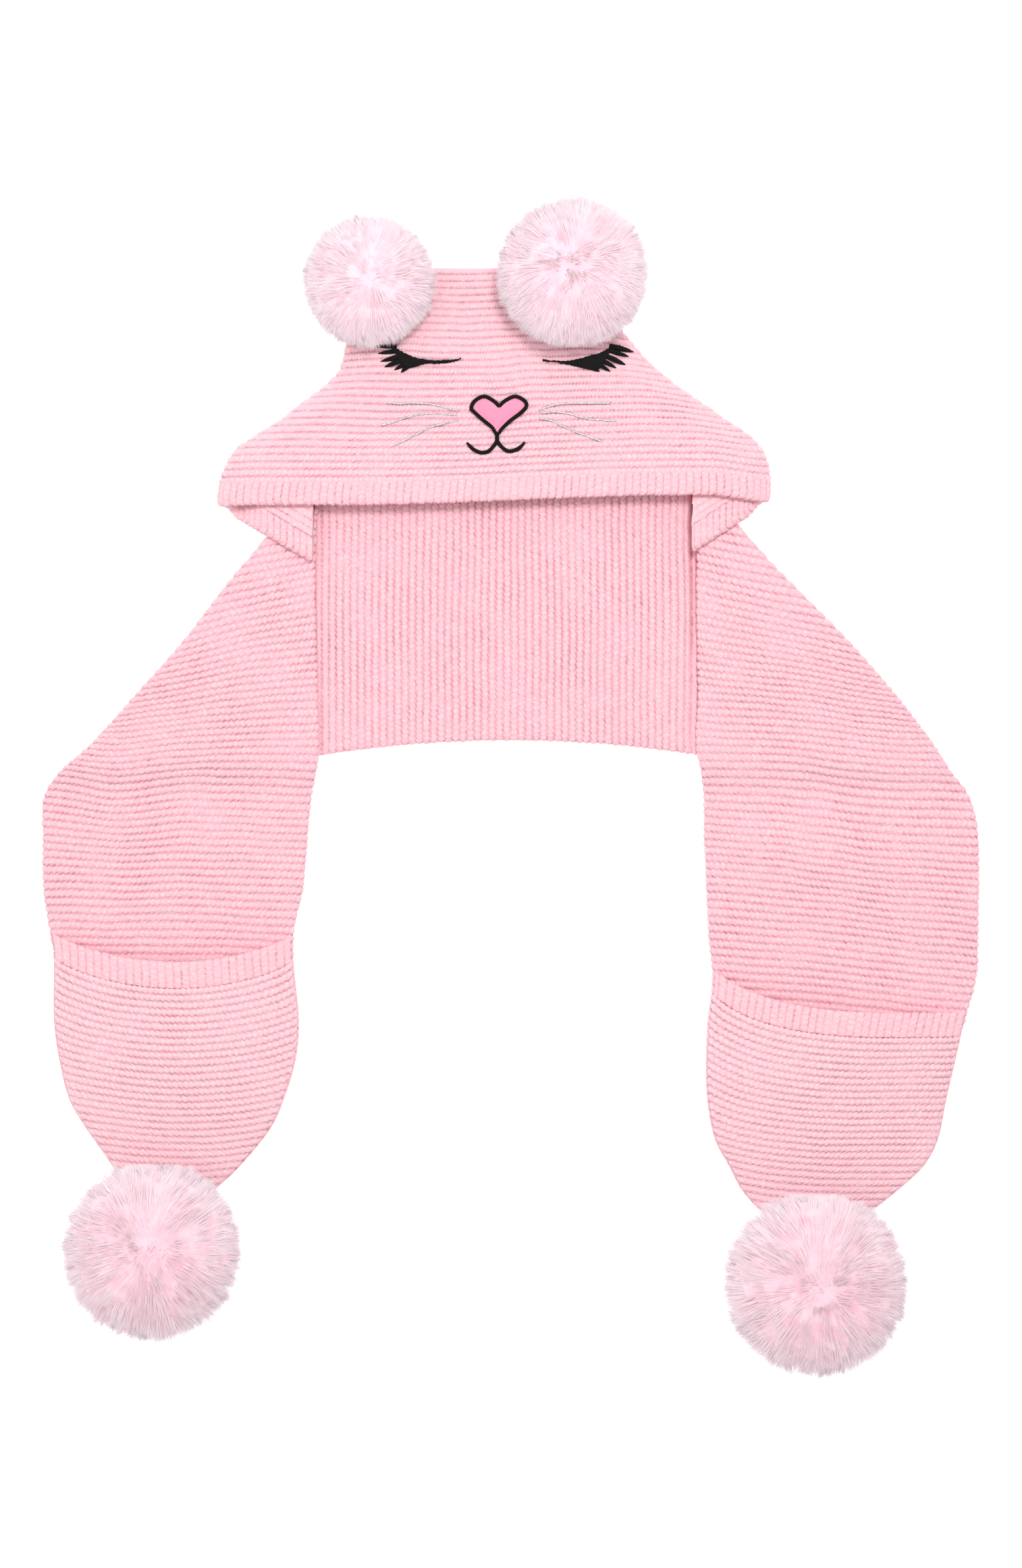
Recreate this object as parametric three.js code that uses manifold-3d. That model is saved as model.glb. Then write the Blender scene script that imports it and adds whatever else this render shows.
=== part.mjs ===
// A child's knitted hooded scarf with ear pompoms, an embroidered animal face and pocket tails,
// lying flat on its back. Millimetres, +Z up, +Y towards the top of the hood.
// The model is laid out from the middle of the neck seam, and centred on its footprint at the end.
import * as THREE from "three";
import { mergeVertices } from "three/addons/utils/BufferGeometryUtils.js";
import Module from "manifold-3d";

const wasm = await Module();
wasm.setup();

// Knit and clearances
const knit = 4.5;
const gap = 0.3;
const cutGap = 0.45;
const slotSpread = 1.5;
const knitRounds = [0, 0.16 * knit, knit / 2];

// Garter-stitch strip
const stripWidth = 163;
const neckLeft = 118;
const neckRight = 113;
const tailLeftLength = 450;
const tailRightLength = 470;
const panelDrop = 10;
const panelSag = 9.5;
const panelSagLift = 1.5;
const panelSettle = 22;
const foldSlope = 0.882;
const foldRoll = 7;
const foldStep = 0.5;
const foldClear = 0.7;

// Hood
const hoodWidth = 336;
const hoodHeight = 144;
const hemDrop = 20;
const hemRise = 6;
const hemDip = 3.6;
const hoodCrown = 24;
const hemCrown = 20.5;
const hoodSoftEdge = 24;
const hoodEdgeFill = 4;
const hoodBandDepth = 14;
const neckSeamLeft = 54;
const neckSeamRight = 46;
const cornerDrop = 32;
const shoulderMargin = 11;
const shoulderSlope = 20;
const leastRoom = 1.2;

// Pockets
const pocketSeamInset = 1.6;
const pocketPuff = 11;
const pocketLeftBand = 16;
const pocketRightBand = 13;
const pocketLeftDown = 280;
const pocketRightDown = 312;
const pocketSag = 17;
const pocketLeftLean = 2;
const pocketRightLean = -11;

// Pompoms
const earLeftRadius = 39.5;
const earRightRadius = 44;
const tailLeftRadius = 51;
const tailRightRadius = 52.5;
const pompomSquash = 0.86;
const pompomCore = 0.83;
const lockReach = 0.97;
const lockWobble = 0.04;
const lockLean = 0.05;

// Embroidery
const lashThread = 2.4;
const outlineThread = 2.2;
const whiskerThread = 1.3;
const noseWidth = 30;
const noseHeight = 18;
const noseThickness = 2;
const stitchLift = 0.55;

// Outline of each tail: down is a share of the tail's length below the neck seam,
// outer and inner are shares of the strip's width, outward from the neck's end
const tailLeftOutline = [
  { down: 0.004, outer: -0.009, inner: -0.023 },
  { down: 0.049, outer: 0.098, inner: -0.006 },
  { down: 0.098, outer: 0.213, inner: 0.0 },
  { down: 0.151, outer: 0.336, inner: 0.003 },
  { down: 0.222, outer: 0.486, inner: 0.0 },
  { down: 0.293, outer: 0.658, inner: -0.006 },
  { down: 0.364, outer: 0.837, inner: -0.011 },
  { down: 0.4, outer: 0.947, inner: -0.002 },
  { down: 0.436, outer: 1.013, inner: 0.018 },
  { down: 0.489, outer: 1.017, inner: 0.032 },
  { down: 0.56, outer: 1.016, inner: 0.049 },
  { down: 0.609, outer: 0.996, inner: 0.08 },
  { down: 0.649, outer: 0.979, inner: 0.086 },
  { down: 0.738, outer: 0.977, inner: 0.064 },
  { down: 0.791, outer: 0.957, inner: 0.076 },
  { down: 0.844, outer: 0.92, inner: 0.12 },
  { down: 0.88, outer: 0.864, inner: 0.164 },
  { down: 0.916, outer: 0.793, inner: 0.24 },
  { down: 0.951, outer: 0.727, inner: 0.331 },
  { down: 1.0, outer: 0.61, inner: 0.5 },
];
const tailRightOutline = [
  { down: 0.004, outer: 0.004, inner: -0.011 },
  { down: 0.047, outer: 0.106, inner: 0.0 },
  { down: 0.094, outer: 0.222, inner: 0.001 },
  { down: 0.145, outer: 0.36, inner: -0.002 },
  { down: 0.213, outer: 0.556, inner: 0.0 },
  { down: 0.281, outer: 0.728, inner: 0.004 },
  { down: 0.349, outer: 0.88, inner: -0.004 },
  { down: 0.383, outer: 0.941, inner: 0.013 },
  { down: 0.417, outer: 1.015, inner: 0.026 },
  { down: 0.468, outer: 1.047, inner: 0.027 },
  { down: 0.596, outer: 1.047, inner: 0.044 },
  { down: 0.651, outer: 1.04, inner: 0.058 },
  { down: 0.706, outer: 0.998, inner: 0.04 },
  { down: 0.757, outer: 0.964, inner: 0.033 },
  { down: 0.809, outer: 0.929, inner: 0.038 },
  { down: 0.86, outer: 0.898, inner: 0.067 },
  { down: 0.894, outer: 0.845, inner: 0.119 },
  { down: 0.928, outer: 0.74, inner: 0.173 },
  { down: 0.966, outer: 0.601, inner: 0.276 },
  { down: 1.0, outer: 0.5, inner: 0.39 },
];

// Outline of the hood: rise is a share of its height above the hem,
// left and right are shares of its width, outward from the neck's middle
const hoodOutline = [
  { rise: -0.3, left: 0.53, right: 0.466 },
  { rise: -0.014, left: 0.53, right: 0.466 },
  { rise: 0.056, left: 0.529, right: 0.47 },
  { rise: 0.139, left: 0.52, right: 0.468 },
  { rise: 0.194, left: 0.509, right: 0.463 },
  { rise: 0.25, left: 0.491, right: 0.451 },
  { rise: 0.306, left: 0.455, right: 0.426 },
  { rise: 0.361, left: 0.417, right: 0.391 },
  { rise: 0.417, left: 0.387, right: 0.356 },
  { rise: 0.472, left: 0.354, right: 0.321 },
  { rise: 0.528, left: 0.324, right: 0.289 },
  { rise: 0.583, left: 0.307, right: 0.26 },
  { rise: 0.667, left: 0.298, right: 0.226 },
  { rise: 0.806, left: 0.286, right: 0.179 },
  { rise: 0.917, left: 0.274, right: 0.149 },
  { rise: 0.979, left: 0.262, right: 0.125 },
  { rise: 1.0, left: 0.238, right: 0.095 },
];

// Embroidery routes on the face: across and rise are shares of the hood's width and height
const lashLeftArc = [
  { across: -0.092, rise: 0.624 }, { across: -0.105, rise: 0.613 }, { across: -0.145, rise: 0.611 },
  { across: -0.177, rise: 0.624 }, { across: -0.2, rise: 0.645 }, { across: -0.222, rise: 0.678 },
  { across: -0.244, rise: 0.674 },
];
const lashLeftTips = [
  { from: { across: -0.222, rise: 0.676 }, to: { across: -0.233, rise: 0.638 } },
  { from: { across: -0.208, rise: 0.655 }, to: { across: -0.231, rise: 0.611 } },
  { from: { across: -0.193, rise: 0.639 }, to: { across: -0.227, rise: 0.589 } },
  { from: { across: -0.172, rise: 0.622 }, to: { across: -0.196, rise: 0.567 } },
];
const lashRightArc = [
  { across: 0.057, rise: 0.624 }, { across: 0.081, rise: 0.616 }, { across: 0.113, rise: 0.612 },
  { across: 0.154, rise: 0.634 }, { across: 0.182, rise: 0.668 }, { across: 0.208, rise: 0.66 },
];
const lashRightTips = [
  { from: { across: 0.184, rise: 0.668 }, to: { across: 0.206, rise: 0.634 } },
  { from: { across: 0.172, rise: 0.656 }, to: { across: 0.202, rise: 0.6 } },
  { from: { across: 0.158, rise: 0.638 }, to: { across: 0.188, rise: 0.585 } },
  { from: { across: 0.139, rise: 0.624 }, to: { across: 0.157, rise: 0.571 } },
];
const mouthRoutes = [
  [{ across: -0.026, rise: 0.33 }, { across: -0.026, rise: 0.29 }],
  [
    { across: -0.03, rise: 0.283 }, { across: -0.034, rise: 0.25 }, { across: -0.053, rise: 0.234 },
    { across: -0.069, rise: 0.247 }, { across: -0.08, rise: 0.273 },
  ],
  [
    { across: -0.021, rise: 0.283 }, { across: -0.015, rise: 0.255 }, { across: 0.001, rise: 0.238 },
    { across: 0.017, rise: 0.255 }, { across: 0.024, rise: 0.275 },
  ],
];
const noseCentre = { across: -0.0213, rise: 0.407 };
const whiskersLeft = [
  [
    { across: -0.223, rise: 0.441 }, { across: -0.183, rise: 0.441 }, { across: -0.136, rise: 0.43 },
    { across: -0.098, rise: 0.405 },
  ],
  [
    { across: -0.23, rise: 0.345 }, { across: -0.2, rise: 0.366 }, { across: -0.164, rise: 0.391 },
    { across: -0.13, rise: 0.38 }, { across: -0.098, rise: 0.38 },
  ],
  [
    { across: -0.21, rise: 0.26 }, { across: -0.177, rise: 0.303 }, { across: -0.149, rise: 0.332 },
    { across: -0.12, rise: 0.345 }, { across: -0.098, rise: 0.356 },
  ],
];
const whiskersRight = [
  [
    { across: 0.05, rise: 0.408 }, { across: 0.081, rise: 0.43 }, { across: 0.114, rise: 0.438 },
    { across: 0.178, rise: 0.438 },
  ],
  [
    { across: 0.055, rise: 0.39 }, { across: 0.087, rise: 0.399 }, { across: 0.125, rise: 0.377 },
    { across: 0.157, rise: 0.369 }, { across: 0.189, rise: 0.363 },
  ],
  [
    { across: 0.05, rise: 0.368 }, { across: 0.081, rise: 0.355 }, { across: 0.119, rise: 0.319 },
    { across: 0.161, rise: 0.28 },
  ],
];

// Places of the pompoms: across is a share of the hood's width, out of the strip's width from
// the neck's end, and below and beyond are shares of the pompom's radius
const earPompoms = [
  { side: "left", across: -0.2536, below: 0.18, radius: earLeftRadius },
  { side: "right", across: 0.1155, below: 0.01, radius: earRightRadius },
];
const tailPompoms = [
  { side: "left", out: 0.606, beyond: 0.44, radius: tailLeftRadius },
  { side: "right", out: 0.44, beyond: 0.42, radius: tailRightRadius },
];

const colours = {
  strip: 0xf9c5d0, hood: 0xf9cad5, band: 0xf8c6d2, pocket: 0xfaccd7, ear: 0xfce1e9, tail: 0xf4d0da,
  black: 0x25201f, nose: 0xfb9fbd, silver: 0xc9c6c8,
};
const knitLook = (colour) => new THREE.MeshStandardMaterial({ color: colour, roughness: 0.95, metalness: 0 });
const furLook = (colour) => new THREE.MeshStandardMaterial({ color: colour, roughness: 0.85, metalness: 0 });
const threadLook = (colour, metalness) =>
  new THREE.MeshStandardMaterial({ color: colour, roughness: 0.45, metalness });

const group = new THREE.Group();

function addPiece(name, geometry, look) {
  const mesh = new THREE.Mesh(geometry, look);
  mesh.name = name;
  group.add(mesh);
}

// Numbers and curves
const clamp = (value, low, high) => Math.min(high, Math.max(low, value));
const mix = (a, b, t) => a + (b - a) * t;

function ease(value, from, to) {
  const t = clamp((value - from) / (to - from), 0, 1);
  return t * t * (3 - 2 * t);
}

// Quarter-round edge: 0 at the edge, 1 from one radius inwards
function roundEdge(distance, radius) {
  const t = clamp(distance / radius, 0, 1);
  return Math.sqrt(Math.max(0, 1 - (1 - t) * (1 - t)));
}

// Smooth value of a table's column at a key, through its rows
function follow(table, keyName, column, key) {
  const last = table.length - 1;
  let i = 0;
  while (i < last - 1 && table[i + 1][keyName] < key) i += 1;
  const a = table[Math.max(0, i - 1)];
  const b = table[i];
  const c = table[i + 1];
  const d = table[Math.min(last, i + 2)];
  const span = c[keyName] - b[keyName];
  const t = clamp((key - b[keyName]) / span, 0, 1);
  const slopeB = ((c[column] - a[column]) / (c[keyName] - a[keyName])) * span;
  const slopeC = ((d[column] - b[column]) / (d[keyName] - b[keyName])) * span;
  const t2 = t * t;
  const t3 = t2 * t;
  return (
    (2 * t3 - 3 * t2 + 1) * b[column] +
    (t3 - 2 * t2 + t) * slopeB +
    (3 * t2 - 2 * t3) * c[column] +
    (t3 - t2) * slopeC
  );
}

// A closed body from a grid of columns, each { x, y, low, high }. Where low equals high
// the top and the bottom meet in one point, and elsewhere the border gets an upright wall.
function bodyFromGrid(grid) {
  const rows = grid.length;
  const columns = grid[0].length;
  const points = [];
  for (const side of ["high", "low"]) {
    for (const row of grid) {
      for (const cell of row) points.push(cell.x, cell.y, cell[side]);
    }
  }
  const at = (side, i, j) => side * rows * columns + i * columns + j;
  const faces = [];
  for (let i = 0; i < rows - 1; i += 1) {
    for (let j = 0; j < columns - 1; j += 1) {
      const falling = i < rows / 2 === j < columns / 2;
      for (const side of [0, 1]) {
        const a = at(side, i, j);
        const b = at(side, i, j + 1);
        const c = at(side, i + 1, j + 1);
        const d = at(side, i + 1, j);
        const cell = falling ? [a, b, c, a, c, d] : [a, b, d, b, c, d];
        faces.push(...(side === 0 ? cell.reverse() : cell));
      }
    }
  }
  const wall = (i, j, k, l) => {
    faces.push(at(0, i, j), at(1, i, j), at(1, k, l), at(0, i, j), at(1, k, l), at(0, k, l));
  };
  for (let j = 0; j < columns - 1; j += 1) {
    wall(0, j + 1, 0, j);
    wall(rows - 1, j, rows - 1, j + 1);
  }
  for (let i = 0; i < rows - 1; i += 1) {
    wall(i, 0, i + 1, 0);
    wall(i + 1, columns - 1, i, columns - 1);
  }
  return closeUp(points, faces);
}

// Merges the shared points, drops the faces that this flattens and turns the body the right way out
function closeUp(points, faces) {
  const loose = new THREE.BufferGeometry();
  loose.setAttribute("position", new THREE.BufferAttribute(new Float32Array(points), 3));
  loose.setIndex(faces);
  const merged = mergeVertices(loose, 1e-3);
  const index = merged.index.array;
  const place = merged.attributes.position;
  const kept = [];
  let volume = 0;
  const p = [new THREE.Vector3(), new THREE.Vector3(), new THREE.Vector3()];
  for (let i = 0; i < index.length; i += 3) {
    const face = [index[i], index[i + 1], index[i + 2]];
    if (face[0] === face[1] || face[1] === face[2] || face[0] === face[2]) continue;
    kept.push(...face);
    face.forEach((vertex, k) => p[k].fromBufferAttribute(place, vertex));
    volume += p[0].dot(p[1].clone().cross(p[2]));
  }
  if (volume < 0) kept.reverse();
  merged.setIndex(kept);
  return merged;
}

// Joins and cuts
function toSolid(geometry) {
  const bare = new THREE.BufferGeometry();
  bare.setAttribute("position", geometry.attributes.position);
  if (geometry.index) bare.setIndex(geometry.index);
  const merged = mergeVertices(bare, 1e-3);
  return new wasm.Manifold(
    new wasm.Mesh({
      numProp: 3,
      vertProperties: new Float32Array(merged.attributes.position.array),
      triVerts: new Uint32Array(merged.index.array),
    }),
  );
}

// The largest body of a solid, as a geometry
function toGeometry(solid) {
  const bodies = solid.decompose().sort((a, b) => b.volume() - a.volume());
  const mesh = bodies[0].getMesh();
  const geometry = new THREE.BufferGeometry();
  const points = [];
  for (let i = 0; i < mesh.numVert; i += 1) {
    for (let k = 0; k < 3; k += 1) points.push(mesh.vertProperties[i * mesh.numProp + k]);
  }
  geometry.setAttribute("position", new THREE.BufferAttribute(new Float32Array(points), 3));
  geometry.setIndex(Array.from(mesh.triVerts));
  return geometry;
}

// Upright prism over a flat outline
function prism(outline, low, high) {
  const shape = new THREE.Shape(outline.map(([x, y]) => new THREE.Vector2(x, y)));
  const geometry = new THREE.ExtrudeGeometry(shape, { depth: high - low, bevelEnabled: false });
  return geometry.translate(0, 0, low);
}

// Distances in from an edge at which a rounded body has its columns
function edgeSteps(width, steps, middle) {
  const scale = Math.min(1, width / 2.4 / steps[steps.length - 1]);
  const near = steps.map((step) => step * scale);
  const inner = near[near.length - 1];
  const shares = Array.from({ length: middle }, (_, k) => mix(inner, width - inner, (k + 1) / (middle + 1)));
  return [...near, ...shares, ...near.map((step) => width - step).reverse()];
}

// Tails
const tails = {
  left: { side: -1, neck: neckLeft, length: tailLeftLength, outline: tailLeftOutline },
  right: { side: 1, neck: neckRight, length: tailRightLength, outline: tailRightOutline },
};
const tailEdge = (tail, column, y) =>
  tail.side * (tail.neck + stripWidth * follow(tail.outline, "down", column, -y / tail.length));

const panelFoot = -(stripWidth + panelDrop);
const overPanel = (y) => ease(y, panelFoot - panelSettle, panelFoot - 1);
const tailRest = (y) => (knit + gap) * overPanel(y);
const tailFace = (y) => tailRest(y) + knit;

function tailGrid(tail, grow) {
  const start = -tail.outline[0].down * tail.length;
  const end = -tail.length;
  const levels = [];
  const startShare = 0.6;
  for (const step of knitRounds) levels.push(start - step * startShare);
  const coarse = 16;
  for (let k = 1; k < coarse; k += 1) levels.push(mix(start, end, k / coarse));
  for (const share of [-0.1, 0.05, 0.28, 0.77, 1]) levels.push(panelFoot - share * panelSettle);
  for (const step of [...knitRounds].reverse()) levels.push(end + step);
  levels.sort((a, b) => b - a);
  return levels.map((y) => {
    const outer = tailEdge(tail, "outer", y);
    const inner = tailEdge(tail, "inner", y);
    const width = Math.abs(outer - inner);
    const scale = Math.min(1, width / (0.25 * stripWidth));
    const rollSteps = [0, 0.2 * foldRoll, 0.62 * foldRoll, foldRoll, foldRoll + foldStep];
    const steps = rollSteps.map((step) => step * scale);
    const close = [...knitRounds].reverse().map((step) => width - step * scale);
    const middle = [0.25, 0.5, 0.75].map((share) => mix(steps[4], close[0], share));
    const endRound = roundEdge(Math.min(start - y, y - end), knit / 2);
    return [...steps, ...middle, ...close].map((step) => {
      const x = outer - tail.side * step;
      const rolled = y > panelFoot - 1 && step < (foldRoll + foldStep / 2) * scale;
      const rest = rolled ? 0 : tailRest(y);
      const face = tailFace(y);
      const edge = Math.min(
        roundEdge(step, (face - rest) / 2), roundEdge(width - step, knit / 2), endRound,
      );
      const middleZ = (rest + face) / 2;
      const push = slotSpread * grow * tail.side * Math.sign(width / 2 - step);
      const reach = ((face - rest) / 2 + grow) * edge;
      return { x: x + push, y: y - grow, low: middleZ - reach, high: middleZ + reach };
    });
  });
}

// Neck panel, with its hidden ends up to the shoulder folds, which start at the neck seam
const foldStart = {
  left: neckLeft + stripWidth * tailLeftOutline[0].outer - 2.5,
  right: neckRight + stripWidth * tailRightOutline[0].outer - 3,
};
function neckPanel() {
  const clear = foldRoll + foldStep + foldClear;
  const middle = [0.08, 0.25, 0.43, 0.61, 0.8, 0.95].map((share) => share * stripWidth);
  const levels = [...knitRounds, ...middle, ...knitRounds.map((r) => stripWidth - r).reverse()];
  const foot = (x) => panelFoot + panelSagLift + panelSag * (1 - clamp((x / neckLeft) ** 2, 0, 1));
  return levels.map((down) => {
    const left = clear - foldStart.left - down * foldSlope;
    const right = foldStart.right - clear + down * foldSlope;
    const width = right - left;
    return edgeSteps(width, knitRounds, 8).map((step) => {
      const x = left + step;
      const y = mix(0, foot(x), down / stripWidth);
      const edge = Math.min(
        roundEdge(step, knit / 2), roundEdge(width - step, knit / 2),
        roundEdge(down, knit / 2), roundEdge(stripWidth - down, knit / 2),
      );
      return { x, y, low: (knit / 2) * (1 - edge), high: (knit / 2) * (1 + edge) };
    });
  });
}

// Hood: how far its lower layer is lifted where it lies over a tail's shoulder
function shoulderLift(x, y) {
  const fold = Math.hypot(1, foldSlope);
  let lift = 0;
  for (const tail of Object.values(tails)) {
    const out = tail.side * x;
    const pastFold = (out - tail.neck + knit + y * foldSlope) / fold;
    const pastInner = tail.neck - knit - out;
    const away = Math.hypot(Math.max(0, pastFold), Math.max(0, pastInner));
    lift = Math.max(lift, 1 - ease(away, shoulderMargin, shoulderMargin + shoulderSlope));
  }
  return lift * (2 * knit + 2 * gap + cutGap / 2);
}

// The hem rises towards the right, and dips again at the right corner
const hemY = (x) => -hemDrop + hemRise * ease(x, -0.3 * hoodWidth, 0.33 * hoodWidth)
  - hemDip * ease(x, 0.36 * hoodWidth, 0.46 * hoodWidth);
const hoodEdge = (side, y) =>
  side * hoodWidth * follow(hoodOutline, "rise", side < 0 ? "left" : "right", (y + hemDrop) / hoodHeight);
const hoodTop = hoodHeight - hemDrop;
const crownAt = (y) => mix(hemCrown, hoodCrown, ease(y, -hemDrop, 0.5 * hoodHeight));
const soften = (distance) =>
  Math.sin((Math.PI / 2) * clamp((distance + hoodEdgeFill) / (hoodSoftEdge + hoodEdgeFill), 0, 1));

function hoodFill(x, y) {
  const sideGap = Math.min(x - hoodEdge(-1, y), hoodEdge(1, y) - x);
  return soften(sideGap) * soften(hoodTop - y);
}
function hoodLayers(x, y) {
  const rest = shoulderLift(x, y);
  const room = Math.max(leastRoom, crownAt(y) - rest - 2 * knit);
  return { rest, face: rest + 2 * knit + room * hoodFill(x, y) };
}
const hoodFace = (x, y) => hoodLayers(x, y).face;

function hoodGrid(inset, grow) {
  const bottom = -hemDrop - cornerDrop + inset;
  const top = hoodTop - inset;
  const rounds = [0, 0.29 * knit, knit];
  const levels = [bottom];
  const coarse = 16;
  for (let k = 1; k < coarse; k += 1) levels.push(mix(bottom, top - knit, k / coarse));
  for (const step of [...rounds].reverse()) levels.push(top - step);
  return levels.map((y) => {
    const yRail = Math.min(y, hoodTop);
    const left = hoodEdge(-1, yRail) + inset;
    const right = hoodEdge(1, yRail) - inset;
    const width = right - left;
    return edgeSteps(width, [...rounds, 0.42 * hoodSoftEdge, 0.75 * hoodSoftEdge], 10).map((step) => {
      const x = left + step;
      const push = slotSpread * grow * Math.sign(step - width / 2);
      const { rest, face } = hoodLayers(x, yRail);
      const low = rest + inset - grow;
      const high = face - inset + grow;
      const radius = Math.min(knit, (high - low) / 2);
      const edge = Math.min(
        roundEdge(step, radius), roundEdge(width - step, radius), roundEdge(top - y, radius),
      );
      const centre = rest + knit;
      return {
        x: x + push, y: y + grow, low: centre + (low - centre) * edge, high: centre + (high - centre) * edge,
      };
    });
  });
}

// Everything over or under the middle of the hood's cavity, between two lines across it
function halfSpace(above, shift, lineFrom, lineTo) {
  const across = 42;
  const rows = [0, 0.3, 0.6, 0.85, 1];
  const reach = 0.56 * hoodWidth;
  const beyond = 60;
  return rows.map((t) =>
    Array.from({ length: across + 1 }, (_, k) => {
      const x = mix(-reach, reach, k / across);
      const y = mix(lineFrom(x), lineTo(x), t);
      const { rest, face } = hoodLayers(clamp(x, hoodEdge(-1, y), hoodEdge(1, y)), Math.min(y, hoodTop));
      const half = (rest + face) / 2;
      const inFromEdge = Math.min(x - hoodEdge(-1, y), hoodEdge(1, y) - x);
      const middle = mix(Math.min(half, rest + knit + 1), half, ease(inFromEdge, knit, hoodSoftEdge));
      return { x, y, low: above ? middle - shift : -beyond, high: above ? beyond : middle + shift };
    }),
  );
}

// The lower layer's free edge runs from each of the hood's corners to the end of the neck seam
const seamReach = 4;
const cornerEdge = {
  left: { corner: [-0.53 * hoodWidth, -hemDrop - 1.5], neck: [-neckLeft - seamReach, -neckSeamLeft] },
  right: { corner: [0.467 * hoodWidth, -hemDrop], neck: [neckRight + seamReach, -neckSeamRight] },
};

function cornerZone(side, near, far) {
  const { corner, neck } = cornerEdge[side];
  const along = new THREE.Vector2(neck[0] - corner[0], neck[1] - corner[1]).normalize();
  const inward = new THREE.Vector2(-along.y, along.x).multiplyScalar(side === "left" ? 1 : -1);
  const place = (point, forward, depth) => [
    point[0] + along.x * forward + inward.x * depth, point[1] + along.y * forward + inward.y * depth,
  ];
  const past = 2 * hoodBandDepth;
  return [
    place(corner, -past, near), place(neck, seamReach, near),
    place(neck, seamReach, far), place(corner, -past, far),
  ];
}

function makeHood() {
  const outer = toSolid(bodyFromGrid(hoodGrid(0, 0)));
  const inner = toSolid(bodyFromGrid(hoodGrid(knit, 0)));
  const shell = outer.subtract(inner);
  const far = -2 * (hemDrop + cornerDrop);
  const tall = 60;
  const bandTop = (extra) => (x) => hemY(x) + hoodBandDepth + extra;
  const frontBelow = (line, shift) => toSolid(bodyFromGrid(halfSpace(true, shift, () => far, line)));
  const underLayer = (shift) => toSolid(bodyFromGrid(halfSpace(false, shift, () => far, () => hoodTop + tall)));
  const seamLeft = -neckLeft - seamReach + gap;
  const seamRight = neckRight + 1;
  const neckCut = toSolid(prism(
    [[seamLeft, far], [seamRight, far], [seamRight, gap], [seamLeft, gap]], -tall, tall,
  )).intersect(underLayer(gap));
  const below = (side, depth) =>
    toSolid(prism(cornerZone(side, far, depth), -tall, tall)).intersect(underLayer(gap));

  const hood = shell
    .subtract(frontBelow(bandTop(gap), 2 * gap))
    .subtract(neckCut)
    .subtract(below("left", hoodBandDepth + gap))
    .subtract(below("right", hoodBandDepth + gap));
  const frontBand = shell.intersect(frontBelow(bandTop(0), 0)).subtract(frontBelow(hemY, knit));
  const underBand = (side) => shell
    .intersect(toSolid(prism(cornerZone(side, 0, hoodBandDepth), -tall, tall)))
    .intersect(underLayer(0))
    .subtract(neckCut);
  const band = frontBand.add(underBand("left")).add(underBand("right"));
  return { hood, band };
}

// Pockets: shares run across from the outer edge, and down from the mouth to the tail's end
const pockets = {
  left: { tail: tails.left, mouth: pocketLeftDown, band: pocketLeftBand, lean: pocketLeftLean },
  right: { tail: tails.right, mouth: pocketRightDown, band: pocketRightBand, lean: pocketRightLean },
};
const mouthY = (pocket, share) =>
  -pocket.mouth - pocketSag * Math.sin(Math.PI * share) ** 0.7 + pocket.lean * (1 - share);

function pocketPlace(pocket, share, y) {
  const outer = tailEdge(pocket.tail, "outer", y) - pocket.tail.side * pocketSeamInset;
  const inner = tailEdge(pocket.tail, "inner", y) + pocket.tail.side * pocketSeamInset;
  return mix(outer, inner, share);
}
function pocketRise(pocket, share, y) {
  const end = -pocket.tail.length;
  const down = clamp((-pocket.mouth - y) / (-pocket.mouth - end), 0, 1);
  return pocketPuff * Math.sin(Math.PI * share) ** 0.6 * (1 - ease(down, 0.25, 1.05));
}

// The layer between two lines, from start to stop below the mouth's edge
function pocketGrid(pocket, start, stop, filled, grow) {
  const shares = [0, 0.006, 0.018, 0.08, 0.2, 0.36, 0.5, 0.64, 0.8, 0.92, 0.982, 0.994, 1];
  const end = -pocket.tail.length + knit;
  const shortBand = stop !== null;
  const middle = shortBand ? [0.5] : [0.12, 0.28, 0.44, 0.6, 0.76, 0.9];
  const rowsOf = (span) =>
    [...knitRounds, ...middle.map((m) => m * span), ...knitRounds.map((r) => span - r).reverse()];
  const count = knitRounds.length * 2 + middle.length;
  return Array.from({ length: count }, (_, row) =>
    shares.map((share) => {
      const from = mouthY(pocket, share) - start;
      const to = shortBand ? mouthY(pocket, share) - stop : end;
      const span = from - to;
      const down = rowsOf(span)[row];
      const y = from - down;
      const x = pocketPlace(pocket, share, y);
      const rest = knit + gap;
      const rise = pocketRise(pocket, share, y);
      const low = filled ? rest : rest + rise;
      const high = rest + rise + knit + 2 * gap;
      const width = Math.abs(pocketPlace(pocket, 0, y) - pocketPlace(pocket, 1, y));
      const edge = Math.min(
        roundEdge(share * width, knit / 2), roundEdge((1 - share) * width, knit / 2),
        roundEdge(down, knit / 2), roundEdge(span - down, knit / 2),
      );
      const centre = (low + high) / 2;
      const push = slotSpread * grow * pocket.tail.side * Math.sign(0.5 - share);
      const reach = ((high - low) / 2 + grow) * edge;
      return { x: x + push, y: y - grow, low: centre - reach, high: centre + reach };
    }),
  );
}

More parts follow.
